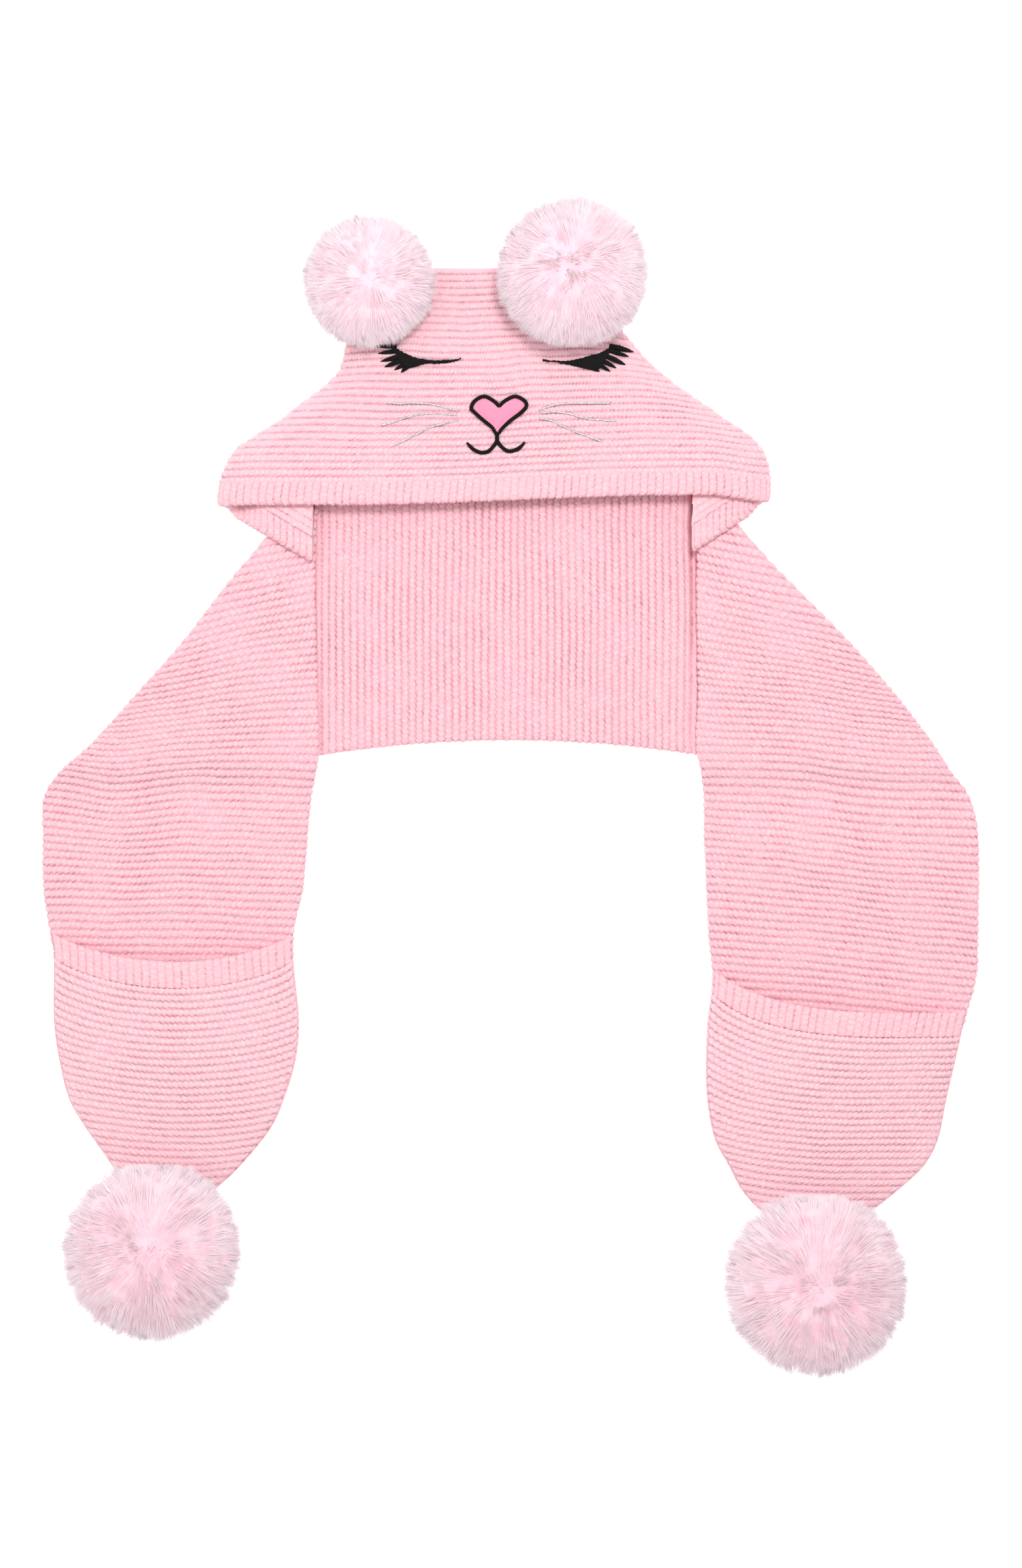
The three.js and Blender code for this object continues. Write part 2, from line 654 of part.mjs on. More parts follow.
// Pompoms: a round core with a pointed lock on each of its facets
function pompom(centre, radius, seed) {
  const core = new THREE.IcosahedronGeometry(1, 2);
  core.deleteAttribute("normal");
  core.deleteAttribute("uv");
  const base = mergeVertices(core, 1e-4);
  const place = base.attributes.position;
  const index = base.index.array;
  const height = radius * pompomSquash;
  const put = (direction, reach) => [
    centre[0] + direction.x * radius * reach, centre[1] + direction.y * radius * reach,
    Math.max(0, height + direction.z * height * reach),
  ];
  const points = [];
  for (let i = 0; i < place.count; i += 1) {
    points.push(...put(new THREE.Vector3().fromBufferAttribute(place, i).normalize(), pompomCore));
  }
  const faces = [];
  for (let i = 0; i < index.length; i += 3) {
    const corners = [index[i], index[i + 1], index[i + 2]];
    const tip = new THREE.Vector3();
    for (const corner of corners) tip.add(new THREE.Vector3().fromBufferAttribute(place, corner).normalize());
    tip.normalize();
    const wobble = Math.sin(seed + i * 12.9898) * 0.5 + Math.sin(seed * 3.1 + i * 4.1414) * 0.5;
    const lean = new THREE.Vector3(Math.sin(i + seed), Math.cos(i * 1.7), Math.sin(i * 2.3));
    tip.add(lean.multiplyScalar(lockLean)).normalize();
    points.push(...put(tip, lockReach + lockWobble * wobble));
    const top = points.length / 3 - 1;
    for (let k = 0; k < 3; k += 1) faces.push(corners[k], corners[(k + 1) % 3], top);
  }
  return closeUp(points, faces);
}

// Embroidered threads on the hood's front
const faceX = (point) => point.across * hoodWidth;
const faceY = (point) => point.rise * hoodHeight - hemDrop;

function threadAlong(route, width, steps) {
  const height = stitchLift + width / 2;
  const curve = new THREE.CatmullRomCurve3(
    route.map((point) => new THREE.Vector3(faceX(point), faceY(point), 0)), false, "centripetal",
  );
  const raised = curve.getSpacedPoints(steps).map(({ x, y }) => {
    const face = hoodFace(x, y);
    const slope = Math.hypot(hoodFace(x + 1, y) - face, hoodFace(x, y + 1) - face);
    return new THREE.Vector3(x, y, face + height * Math.hypot(1, slope));
  });
  const sides = 5;
  const shape = new THREE.Shape(
    Array.from({ length: sides }, (_, k) => {
      const turn = (2 * Math.PI * k) / sides;
      return new THREE.Vector2((width / 2) * Math.cos(turn), (width / 2) * Math.sin(turn));
    }),
  );
  return new THREE.ExtrudeGeometry(shape, {
    steps, bevelEnabled: false, extrudePath: new THREE.CatmullRomCurve3(raised),
  });
}

function joined(geometries) {
  return toGeometry(geometries.map(toSolid).reduce((whole, next) => whole.add(next)));
}

function lash(arc, tips) {
  return joined([
    threadAlong(arc, lashThread, 12),
    ...tips.map(({ from, to }) => threadAlong([from, to], lashThread * 0.8, 2)),
  ]);
}

// Heart outline: t runs once round from the notch, in shares of the nose's size
function heartPoint(t, grow) {
  const turn = 2 * Math.PI * t;
  const x = Math.sin(turn) ** 3;
  const y = (13 * Math.cos(turn) - 5 * Math.cos(2 * turn) - 2 * Math.cos(3 * turn) - Math.cos(4 * turn)) / 14.5;
  return [
    faceX(noseCentre) + x * (noseWidth / 2 + grow), faceY(noseCentre) + y * (noseHeight / 2 + grow) - 0.5,
  ];
}
function heartOutline(grow) {
  return Array.from({ length: 28 }, (_, k) => heartPoint((k + 0.5) / 28, grow));
}
const noseRest = stitchLift + Math.max(...heartOutline(outlineThread).map(([x, y]) => hoodFace(x, y)));
const noseOuter = () => toSolid(prism(heartOutline(outlineThread), noseRest, noseRest + noseThickness * 0.9));
const noseInner = () => toSolid(prism(heartOutline(0), noseRest - 1, noseRest + 10));

function build() {
  addPiece("neck_panel", bodyFromGrid(neckPanel()), knitLook(colours.strip));
  for (const [side, tail] of Object.entries(tails)) {
    addPiece(`tail_${side}`, bodyFromGrid(tailGrid(tail, 0)), knitLook(colours.strip));
  }
  const { hood, band } = makeHood();
  addPiece("hood", toGeometry(hood), knitLook(colours.hood));
  addPiece("hood_band", toGeometry(band), knitLook(colours.band));
  for (const [side, pocket] of Object.entries(pockets)) {
    addPiece(`pocket_${side}`, bodyFromGrid(pocketGrid(pocket, pocket.band + 1.4 * gap, null, false, 0)),
      knitLook(colours.pocket));
    addPiece(`pocket_band_${side}`, bodyFromGrid(pocketGrid(pocket, 0, pocket.band, false, 0)),
      knitLook(colours.band));
  }
  const hoodSlot = toSolid(bodyFromGrid(hoodGrid(0, cutGap)));
  earPompoms.forEach(({ side, across, below, radius }, k) => {
    const centre = [across * hoodWidth, hoodTop - below * radius];
    const ball = toSolid(pompom(centre, radius, k + 1)).subtract(hoodSlot);
    addPiece(`ear_pompom_${side}`, toGeometry(ball), furLook(colours.ear));
  });
  tailPompoms.forEach(({ side, out, beyond, radius }, k) => {
    const tail = tails[side];
    const centre = [tail.side * (tail.neck + out * stripWidth), -tail.length - beyond * radius];
    const slot = toSolid(bodyFromGrid(tailGrid(tail, cutGap)))
      .add(toSolid(bodyFromGrid(pocketGrid(pockets[side], pockets[side].band + gap, null, true, cutGap))));
    const ball = toSolid(pompom(centre, radius, k + 5)).subtract(slot);
    addPiece(`tail_pompom_${side}`, toGeometry(ball), furLook(colours.tail));
  });
  addPiece("lash_left", lash(lashLeftArc, lashLeftTips), threadLook(colours.black, 0));
  addPiece("lash_right", lash(lashRightArc, lashRightTips), threadLook(colours.black, 0));
  const heart = prism(heartOutline(-2 * gap), noseRest, noseRest + noseThickness).translate(0, -0.8 * gap, 0);
  addPiece("nose_heart", heart, threadLook(colours.nose, 0));
  const mouth = mouthRoutes.map((route) => toSolid(threadAlong(route, outlineThread, 8)));
  const outline = mouth.reduce((whole, next) => whole.add(next), noseOuter()).subtract(noseInner());
  addPiece("nose_outline", toGeometry(outline), threadLook(colours.black, 0));
  whiskersLeft.forEach((route, k) =>
    addPiece(`whisker_left_${k + 1}`, threadAlong(route, whiskerThread, 7), threadLook(colours.silver, 0.7)));
  whiskersRight.forEach((route, k) =>
    addPiece(`whisker_right_${k + 1}`, threadAlong(route, whiskerThread, 7), threadLook(colours.silver, 0.7)));
}

build();

// The origin is the middle of the footprint, on the surface that the scarf lies on
const footprint = new THREE.Box3().setFromObject(group);
const middle = footprint.getCenter(new THREE.Vector3());
group.position.set(-middle.x, -middle.y, -footprint.min.z);

export default group;
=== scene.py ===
import math

import bmesh
import bpy
import numpy as np
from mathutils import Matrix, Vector


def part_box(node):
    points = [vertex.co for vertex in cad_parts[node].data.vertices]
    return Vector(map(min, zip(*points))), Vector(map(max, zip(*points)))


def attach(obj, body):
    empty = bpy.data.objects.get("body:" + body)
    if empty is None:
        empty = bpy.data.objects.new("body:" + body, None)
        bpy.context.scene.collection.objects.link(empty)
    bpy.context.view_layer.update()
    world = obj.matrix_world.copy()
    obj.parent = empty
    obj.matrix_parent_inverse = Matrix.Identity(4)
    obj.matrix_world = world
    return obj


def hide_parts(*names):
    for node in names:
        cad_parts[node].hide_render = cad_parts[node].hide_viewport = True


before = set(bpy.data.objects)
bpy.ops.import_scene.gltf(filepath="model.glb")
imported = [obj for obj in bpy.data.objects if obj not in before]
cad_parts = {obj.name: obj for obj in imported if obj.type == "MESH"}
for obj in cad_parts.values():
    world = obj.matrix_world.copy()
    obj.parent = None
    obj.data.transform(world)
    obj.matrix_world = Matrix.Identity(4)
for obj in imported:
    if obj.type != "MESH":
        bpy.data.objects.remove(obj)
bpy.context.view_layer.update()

# Sizes in millimetres, from the middle of the neck seam: ORIGIN and MM put them in the frame
MM = 0.001
KNIT = 4.5
GAP = 0.3
STRIP = 163.0
NECK = {"left": 118.0, "right": 113.0}
SIDE = {"left": -1, "right": 1}
TAIL_LENGTH = {"left": 450.0, "right": 470.0}
FOLD_SLOPE = 0.882
FOLD_MARGIN = {"left": 2.5, "right": 3.0}
FOLD_ROLL = 7.0
FOLD_STEPS = np.array([0.4, 1.4, 2.9, 4.6])
PANEL_FOOT = -(STRIP + 10)
PANEL_SETTLE = 22.0
PANEL_SAG = 9.5
PANEL_SINK = 3.4
HOOD_WIDTH = 336.0
HOOD_HEIGHT = 144.0
HEM_DROP = 20.0
HEM_RISE = 6.0
HEM_DIP = 3.6
HOOD_CROWN = 24.0
HEM_CROWN = 20.5
HOOD_SOFT_EDGE = 24.0
HOOD_EDGE_FILL = 4.0
HOOD_LEAST_FILL = 1.2
HOOD_BAND = 14.0
HOOD_TOP = HOOD_HEIGHT - HEM_DROP
SHOULDER_MARGIN = 11.0
SHOULDER_SLOPE = 20.0
SHOULDER_LIFT = 2 * KNIT + 2 * GAP + 0.22
POCKET_PUFF = 11.0
POCKET_SAG = {"left": 17.0, "right": 12.0}
POCKET_MOUTH = {"left": 280.0, "right": 308.0}
POCKET_BAND = {"left": 16.0, "right": 15.0}
POCKET_LEAN = {"left": 2.0, "right": -11.0}
POCKET_CORNERS = {"left": (0.0, 0.0), "right": (-7.0, 7.0)}
POCKET_SEAM = 1.6
POMPOM_SQUASH = 0.86
EAR_RADIUS = {"left": 39.5, "right": 45.3}
TAIL_RADIUS = {"left": 51.0, "right": 52.5}
STITCH_LIFT = 0.55

# Outline of each tail: share of its length down, then its outer and inner edges, outward in strip widths
TAIL_OUTLINE = {
    "left": np.array([
        (0.004, -0.009, -0.023), (0.049, 0.098, -0.006), (0.098, 0.213, 0.0), (0.151, 0.336, 0.003),
        (0.222, 0.486, 0.0), (0.293, 0.658, -0.006), (0.364, 0.837, -0.011), (0.4, 0.947, -0.002),
        (0.436, 1.013, 0.018), (0.489, 1.017, 0.032), (0.56, 1.016, 0.049), (0.609, 0.996, 0.08),
        (0.649, 0.979, 0.086), (0.738, 0.977, 0.064), (0.791, 0.957, 0.076), (0.844, 0.92, 0.12),
        (0.88, 0.864, 0.164), (0.916, 0.793, 0.24), (0.951, 0.727, 0.331), (1.0, 0.61, 0.5),
    ]),
    "right": np.array([
        (0.004, 0.004, -0.011), (0.047, 0.106, 0.0), (0.094, 0.222, 0.001), (0.145, 0.36, -0.002),
        (0.213, 0.556, 0.0), (0.281, 0.728, 0.004), (0.349, 0.88, -0.004), (0.383, 0.941, 0.013),
        (0.417, 1.015, 0.026), (0.468, 1.047, 0.027), (0.596, 1.047, 0.044), (0.651, 1.04, 0.058),
        (0.706, 0.998, 0.04), (0.757, 0.964, 0.033), (0.809, 0.929, 0.038), (0.86, 0.898, 0.067),
        (0.894, 0.845, 0.119), (0.928, 0.74, 0.173), (0.966, 0.601, 0.276), (1.0, 0.5, 0.39),
    ]),
}
# Outline of the hood: share of its height above the hem, then its left and right edges, in hood widths
HOOD_OUTLINE = np.array([
    (-0.3, 0.53, 0.466), (-0.014, 0.53, 0.466), (0.056, 0.529, 0.47), (0.139, 0.52, 0.468),
    (0.194, 0.509, 0.463), (0.25, 0.491, 0.451), (0.306, 0.455, 0.426), (0.361, 0.417, 0.391),
    (0.417, 0.387, 0.356), (0.472, 0.354, 0.321), (0.528, 0.324, 0.289), (0.583, 0.307, 0.26),
    (0.667, 0.298, 0.226), (0.806, 0.286, 0.179), (0.917, 0.274, 0.149), (0.979, 0.262, 0.125),
    (1.0, 0.238, 0.095),
])
# The hood's lower layer ends at the neck seam between two ends, and at a free edge beyond each
SEAM_END = {"left": -NECK["left"] - 3.7, "right": NECK["right"] + 1}
FREE_EDGE = {
    "left": ((-0.53 * HOOD_WIDTH, -HEM_DROP - 1.5), (-NECK["left"] - 4, -54.0)),
    "right": ((0.467 * HOOD_WIDTH, -HEM_DROP), (NECK["right"] + 4, -46.0)),
}

# The neck seam is the panel's upper edge, and the tails' inner edges lie evenly about its middle
SEAM_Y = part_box("neck_panel")[1].y / MM
MIDDLE_X = (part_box("neck_panel")[0].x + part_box("neck_panel")[1].x) / 2 / MM
FOLD_START = {
    side: NECK[side] + STRIP * TAIL_OUTLINE[side][0][1] - FOLD_MARGIN[side]
    for side in SIDE
}
ORIGIN = np.array([MIDDLE_X - (FOLD_START["right"] - FOLD_START["left"]) / 2, SEAM_Y, 0.0])


def ease(value, start, end):
    """Smooth step: 0 up to the start, 1 from the end onwards."""
    t = np.clip((value - start) / (end - start), 0, 1)
    return t * t * (3 - 2 * t)


def mix(a, b, t):
    """The value a share t of the way from a to b."""
    return a + (b - a) * t


def round_edge(distance, radius):
    """Quarter-round edge: 0 at the edge, 1 from one radius inwards."""
    t = np.clip(distance / radius, 0, 1)
    return np.sqrt(np.maximum(0, 1 - (1 - t) ** 2))


def follow(table, column, key):
    """Smooth value of a table's column at a key, through its rows."""
    keys, values = table[:, 0], table[:, column]
    slopes = np.empty(len(keys))
    slopes[1:-1] = (values[2:] - values[:-2]) / (keys[2:] - keys[:-2])
    slopes[0] = (values[1] - values[0]) / (keys[1] - keys[0])
    slopes[-1] = (values[-1] - values[-2]) / (keys[-1] - keys[-2])
    i = np.clip(np.searchsorted(keys, key) - 1, 0, len(keys) - 2)
    span = keys[i + 1] - keys[i]
    t = np.clip((key - keys[i]) / span, 0, 1)
    return (
        (2 * t**3 - 3 * t**2 + 1) * values[i] + (t**3 - 2 * t**2 + t) * slopes[i] * span
        + (3 * t**2 - 2 * t**3) * values[i + 1] + (t**3 - t**2) * slopes[i + 1] * span
    )


def wander(u, v, cell, seed):
    """Smooth seeded unevenness from -1 to 1, with bumps about one cell wide."""
    table = np.random.default_rng(seed).uniform(-1, 1, (64, 64))
    i, j = np.floor(u / cell).astype(int), np.floor(v / cell).astype(int)
    s, t = ease(u / cell - i, 0, 1), ease(v / cell - j, 0, 1)

    def pick(di, dj):
        return table[(i + di) % 64, (j + dj) % 64]

    return mix(mix(pick(0, 0), pick(1, 0), s), mix(pick(0, 1), pick(1, 1), s), t)


# Shapes shared by the pieces
def tail_edge(side, column, y):
    """Where a tail's outer edge (column 1) or inner edge (column 2) lies."""
    return SIDE[side] * (NECK[side] + STRIP * follow(TAIL_OUTLINE[side], column, -y / TAIL_LENGTH[side]))


def tail_rest(y):
    """Height of a tail's underside: on the neck panel, and down on the table below it."""
    return (KNIT + GAP) * ease(y, PANEL_FOOT - PANEL_SETTLE, PANEL_FOOT - 1)


def shoulder_lift(x, y):
    """How far the hood's lower layer is lifted where it lies over a tail's shoulder."""
    lift = 0.0
    for side in SIDE:
        out = SIDE[side] * x
        past_fold = (out - NECK[side] + KNIT + y * FOLD_SLOPE) / math.hypot(1, FOLD_SLOPE)
        past_inner = NECK[side] - KNIT - out
        away = np.hypot(np.maximum(0, past_fold), np.maximum(0, past_inner))
        lift = np.maximum(lift, 1 - ease(away, SHOULDER_MARGIN, SHOULDER_MARGIN + SHOULDER_SLOPE))
    return lift * SHOULDER_LIFT


def hem_y(x):
    """The hem rises towards the right, and dips again at the right corner."""
    rise = HEM_RISE * ease(x, -0.3 * HOOD_WIDTH, 0.33 * HOOD_WIDTH)
    return -HEM_DROP + rise - HEM_DIP * ease(x, 0.36 * HOOD_WIDTH, 0.46 * HOOD_WIDTH)


def hood_edge(side, y):
    """Where the hood's left or right edge lies."""
    column = 1 if side == "left" else 2
    return SIDE[side] * HOOD_WIDTH * follow(HOOD_OUTLINE, column, (y + HEM_DROP) / HOOD_HEIGHT)


def soften(distance):
    """Roundness of the hood's filling, from its edge inwards."""
    t = np.clip((distance + HOOD_EDGE_FILL) / (HOOD_SOFT_EDGE + HOOD_EDGE_FILL), 0, 1)
    return np.sin(math.pi / 2 * t)


def hood_layers(x, y):
    """Heights of the hood's underside and of its front."""
    y = np.minimum(y, HOOD_TOP)
    rest = shoulder_lift(x, y)
    crown = mix(HEM_CROWN, HOOD_CROWN, ease(y, -HEM_DROP, 0.5 * HOOD_HEIGHT))
    side_gap = np.minimum(x - hood_edge("left", y), hood_edge("right", y) - x)
    fill = soften(side_gap) * soften(HOOD_TOP - y)
    return rest, rest + 2 * KNIT + np.maximum(HOOD_LEAST_FILL, crown - rest - 2 * KNIT) * fill


def pocket_across(side, share, y):
    """The place a share of the way across a pocket, from its outer side to its inner side."""
    outer = tail_edge(side, 1, y) - SIDE[side] * POCKET_SEAM
    inner = tail_edge(side, 2, y) + SIDE[side] * POCKET_SEAM
    return mix(outer, inner, share)


def mouth_y(side, share):
    """Height of the pocket's mouth, from its outer end to its inner end."""
    sag = POCKET_SAG[side] * np.sin(math.pi * share) ** 0.7
    outer, inner = POCKET_CORNERS[side]
    corners = outer * (1 - share) ** 6 + inner * share**8
    return -POCKET_MOUTH[side] - sag + POCKET_LEAN[side] * (1 - share) + corners


def pocket_rise(side, share, y):
    """How far a pocket's front stands off its tail."""
    down = np.clip((-POCKET_MOUTH[side] - y) / (TAIL_LENGTH[side] - POCKET_MOUTH[side]), 0, 1)
    return POCKET_PUFF * np.sin(math.pi * share) ** 0.6 * (1 - ease(down, 0.25, 1.05))


# Sizes of the knitting: a garter ridge is two rows of yarn, and a stitch is its width
STITCH = 3.3
STRIP_RIDGE = 4.65
PANEL_RIDGE = 4.4
POCKET_RIDGE = 4.5
HOOD_RIDGES = 30
HOOD_RIB = 4.8
POCKET_RIB = 4.8
RIDGE_DEPTH = 1.5
RIB_DEPTH = 0.4
ZIGZAG = 0.7
NUB_HEIGHT = 0.26
NUB_SIZE = 2.1
BEAD_HEIGHT = 0.12
STITCH_DRIFT = 0.3
STEPS_PER_STITCH = 3
STEPS_PER_RIB = 6
SEAM_ROUND = 0.5
SEAM_LAP = 0.5
ROWS_PER_RIDGE = np.array([0.0, 0.15, 0.5, 0.85])
EDGE_STEPS = KNIT / 2 * (1 - np.cos(np.radians([0, 25, 50, 72, 90])))
UNDER_STEPS = np.array([0.4, KNIT / 2])


def columns(width, edge, count):
    """Distances from one edge to the other, close together at both rounded edges."""
    near = edge * np.minimum(1, width / (4 * edge[-1]))
    inner = near[:, -1:]
    middle = inner + (width - 2 * inner) * np.linspace(0, 1, count + 2)[1:-1]
    return np.hstack([near, middle, width - near[:, ::-1]])


def ridge_rows(start, stop, fine_from, fine_to):
    """Ridge numbers of the rows of a mesh: four to a ridge where it shows, else two."""
    rows = []
    for ridge in range(start, stop):
        fine = fine_from <= ridge < fine_to
        rows.extend(ridge + (ROWS_PER_RIDGE if fine else np.array([0.0, 0.5])))
    return np.array(rows + [float(stop)])[:, None]


def garter(ridge):
    """Height across a ridge: 0 in the narrow groove, 1 on the wide crest."""
    return 1 - np.abs(2 * (ridge % 1) - 1) ** 3.2


def ribbing(rib):
    """Height across a rib: 0 in the groove, 1 on the crest."""
    return 1 - np.abs(2 * (rib % 1) - 1) ** 2.6


def outward(points):
    """Normals of closed loops laid side by side, pointing out of the body."""
    around = np.roll(points, -1, 1) - np.roll(points, 1, 1)
    along = np.gradient(points, axis=0)
    normal = np.cross(around, along)
    normal /= np.maximum(np.linalg.norm(normal, axis=2, keepdims=True), 1e-9)
    middle = points.mean(axis=1, keepdims=True)
    facing = ((points - middle) * normal).sum(2)
    return normal * (1 if np.median(facing) > 0 else -1)


def deselect():
    """Leaves edit mode and selects nothing, so that an operator acts on new pieces alone."""
    if bpy.context.object and bpy.context.object.mode != "OBJECT":
        bpy.ops.object.mode_set(mode="OBJECT")
    bpy.ops.object.select_all(action="DESELECT")


def close_ends(mesh):
    """Closes each open end of a body with short faces from side to side."""
    body = bmesh.new()
    body.from_mesh(mesh)
    ends = [edge for edge in body.edges if edge.is_boundary]
    free = set(ends)
    for start in ends:
        if start not in free:
            continue
        free.remove(start)
        rim, todo = [], [start]
        while todo:
            edge = todo.pop()
            rim.append(edge)
            for other in (other for vertex in edge.verts for other in vertex.link_edges):
                if other in free:
                    free.remove(other)
                    todo.append(other)
        bmesh.ops.triangle_fill(body, edges=rim, use_beauty=True)
    bmesh.ops.recalc_face_normals(body, faces=body.faces)
    body.to_mesh(mesh)
    body.free()


def loops_to_piece(name, points, stitch, ridge):
    """A closed body from loops laid side by side, with its knitting laid out in a UV map."""
    rows, around = points.shape[:2]
    deselect()
    bpy.ops.mesh.primitive_grid_add(x_subdivisions=around, y_subdivisions=rows - 1, size=1)
    piece = bpy.context.object
    piece.name = piece.data.name = name
    mesh = piece.data

    def wrapped(values):
        return np.concatenate([values, values[:, :1]], axis=1)

    place = (wrapped(points) + ORIGIN) * MM
    mesh.vertices.foreach_set("co", place.astype(np.float32).ravel())
    corner = np.empty(len(mesh.loops), int)
    mesh.loops.foreach_get("vertex_index", corner)
    laid_out = np.stack([
        np.concatenate([stitch, 2 * stitch[:, -1:] - stitch[:, -2:-1]], axis=1), wrapped(ridge),
    ], axis=2).reshape(-1, 2)
    mesh.uv_layers[0].name = "knitting"
    mesh.uv_layers["knitting"].data.foreach_set("uv", laid_out[corner].astype(np.float32).ravel())
    bpy.ops.object.mode_set(mode="EDIT")
    bpy.ops.mesh.select_all(action="SELECT")
    bpy.ops.mesh.remove_doubles(threshold=1e-7)
    bpy.ops.object.mode_set(mode="OBJECT")
    close_ends(mesh)
    bpy.ops.object.shade_smooth()
    return piece


def knit(name, points, stitch, ridge, shows, seed, ribbed=False):
    """Raises the knitting on a plain body, where it shows, and makes the piece. The pull of
    the yarn changes from place to place, and grooves wave where stitches hook together."""
    along, down = stitch * STITCH, ridge * STRIP_RIDGE
    pull = 0.85 + 0.4 * wander(along, down, 24, seed)
    nub = NUB_HEIGHT * wander(along, down, NUB_SIZE, seed + 40)
    if ribbed:
        bead = np.cos(2 * math.pi * stitch)
        height = RIB_DEPTH * pull * (ribbing(ridge) - 0.6) + BEAD_HEIGHT * bead
        wave = 0 * ridge
    else:
        stitch = stitch + STITCH_DRIFT * wander(along, down, 11, seed + 80)
        hooked = 2 * math.pi * (stitch + 0.5 * np.round(ridge))
        bead = np.cos(2 * math.pi * (stitch + 0.5 * np.floor(ridge) + 0.35 * (ridge % 1)))
        height = RIDGE_DEPTH * pull * (garter(ridge) - 0.6) + BEAD_HEIGHT * garter(ridge) * bead
        wave = ZIGZAG * np.sin(hooked) * (2 * (ridge % 1) - 1) ** 2
    across = np.gradient(points, axis=0)
    across /= np.maximum(np.linalg.norm(across, axis=2, keepdims=True), 1e-9)
    raised = points + outward(points) * ((height + nub) * shows)[..., None]
    raised += across * (wave * shows)[..., None]
    raised[..., 2] = np.maximum(raised[..., 2], 0.02)
    return loops_to_piece(name, raised, stitch, ridge)


# Broad unevenness of the ridges: where a ridge dips, how far down and how far around (mm)
DIPS = {
    "left": np.array([(-236, -192, 5.0, 27), (-160, -110, -3.0, 34)]),
    "right": np.array([(170, -150, -2.5, 36), (215, -215, 2.5, 34)]),
}
SHOULDER_RIDGES = 0.26
LOWER_SLOPE = {"left": -0.035, "right": 0.085}
TAIL_KNIT_HIDDEN = 26.0


def rumple(x, y, seed):
    """How far the ridges wander from straight."""
    return 1.1 * wander(x + 900, y + 900, 58, seed) + 0.5 * wander(x + 900, y + 900, 17, seed + 1)


def dipped(side, x, y):
    """How far the ridges dip in the broad hollows."""
    fall = 0.0
    for dip_x, dip_y, depth, reach in DIPS[side]:
        away = ((x - dip_x) / reach) ** 2 + ((y - dip_y) / (1.5 * reach)) ** 2
        fall = fall + depth * np.exp(-away)
    return fall


# Tails: ridges lie across the strip, and slope down outwards below the shoulder fold
def make_tail(side):
    length = TAIL_LENGTH[side]
    start = TAIL_OUTLINE[side][0][0] * length
    first, last = 1, int(length / STRIP_RIDGE)
    hidden = int((POCKET_MOUTH[side] + TAIL_KNIT_HIDDEN) / STRIP_RIDGE)
    ridge = ridge_rows(first, last, 2, hidden)
    down = mix(start, length, (ridge - first) / (last - first))
    width = np.abs(tail_edge(side, 1, -down) - tail_edge(side, 2, -down))
    top = columns(width, EDGE_STEPS, int(STRIP / STITCH * STEPS_PER_STITCH) - 2)
    under = columns(width, UNDER_STEPS, 8)[:, ::-1]
    step = np.hstack([top, under])
    upper = np.arange(step.shape[1]) < top.shape[1]
    mouth = POCKET_MOUTH[side]
    slope = SHOULDER_RIDGES * ease(down, 12, 46) * (1 - ease(down, 70, 190))
    below = ease(down, 120, 230) * (1 - ease(down, mouth + 10, mouth + 70))
    slope = slope + LOWER_SLOPE[side] * below
    inward = width - step
    free = ease(down, 6, 40) * (1 - ease(down, mouth + 20, mouth + 60))
    y = -down - slope * inward + rumple(step, down, 3) * free
    x = mix(tail_edge(side, 1, y), tail_edge(side, 2, y), step / width)
    y = y - dipped(side, x, y) * free
    fold = y > PANEL_FOOT - 1
    x = mix(tail_edge(side, 1, y), tail_edge(side, 2, y), step / width)
    rest = np.where(fold & (step < FOLD_ROLL), 0, tail_rest(y))
    face = tail_rest(y) + KNIT
    ends = round_edge(np.minimum(down - start, length - down) + 0.2, KNIT / 2)
    edge = np.minimum(
        np.minimum(round_edge(step, (face - rest) / 2), round_edge(width - step, KNIT / 2)), ends,
    )
    reach = (face - rest) / 2 * edge
    z = (face + rest) / 2 + np.where(upper, reach, -reach)
    points = np.stack([x, y, z], axis=2)
    covered = hidden * STRIP_RIDGE
    shows = np.where(upper, 1.0, 0.0) * ease(width, 4, 20) * (1 - ease(down, covered - 9, covered))
    return knit(f"strip_{side}", points, inward / STITCH, ridge + 0 * step, shows, 11)


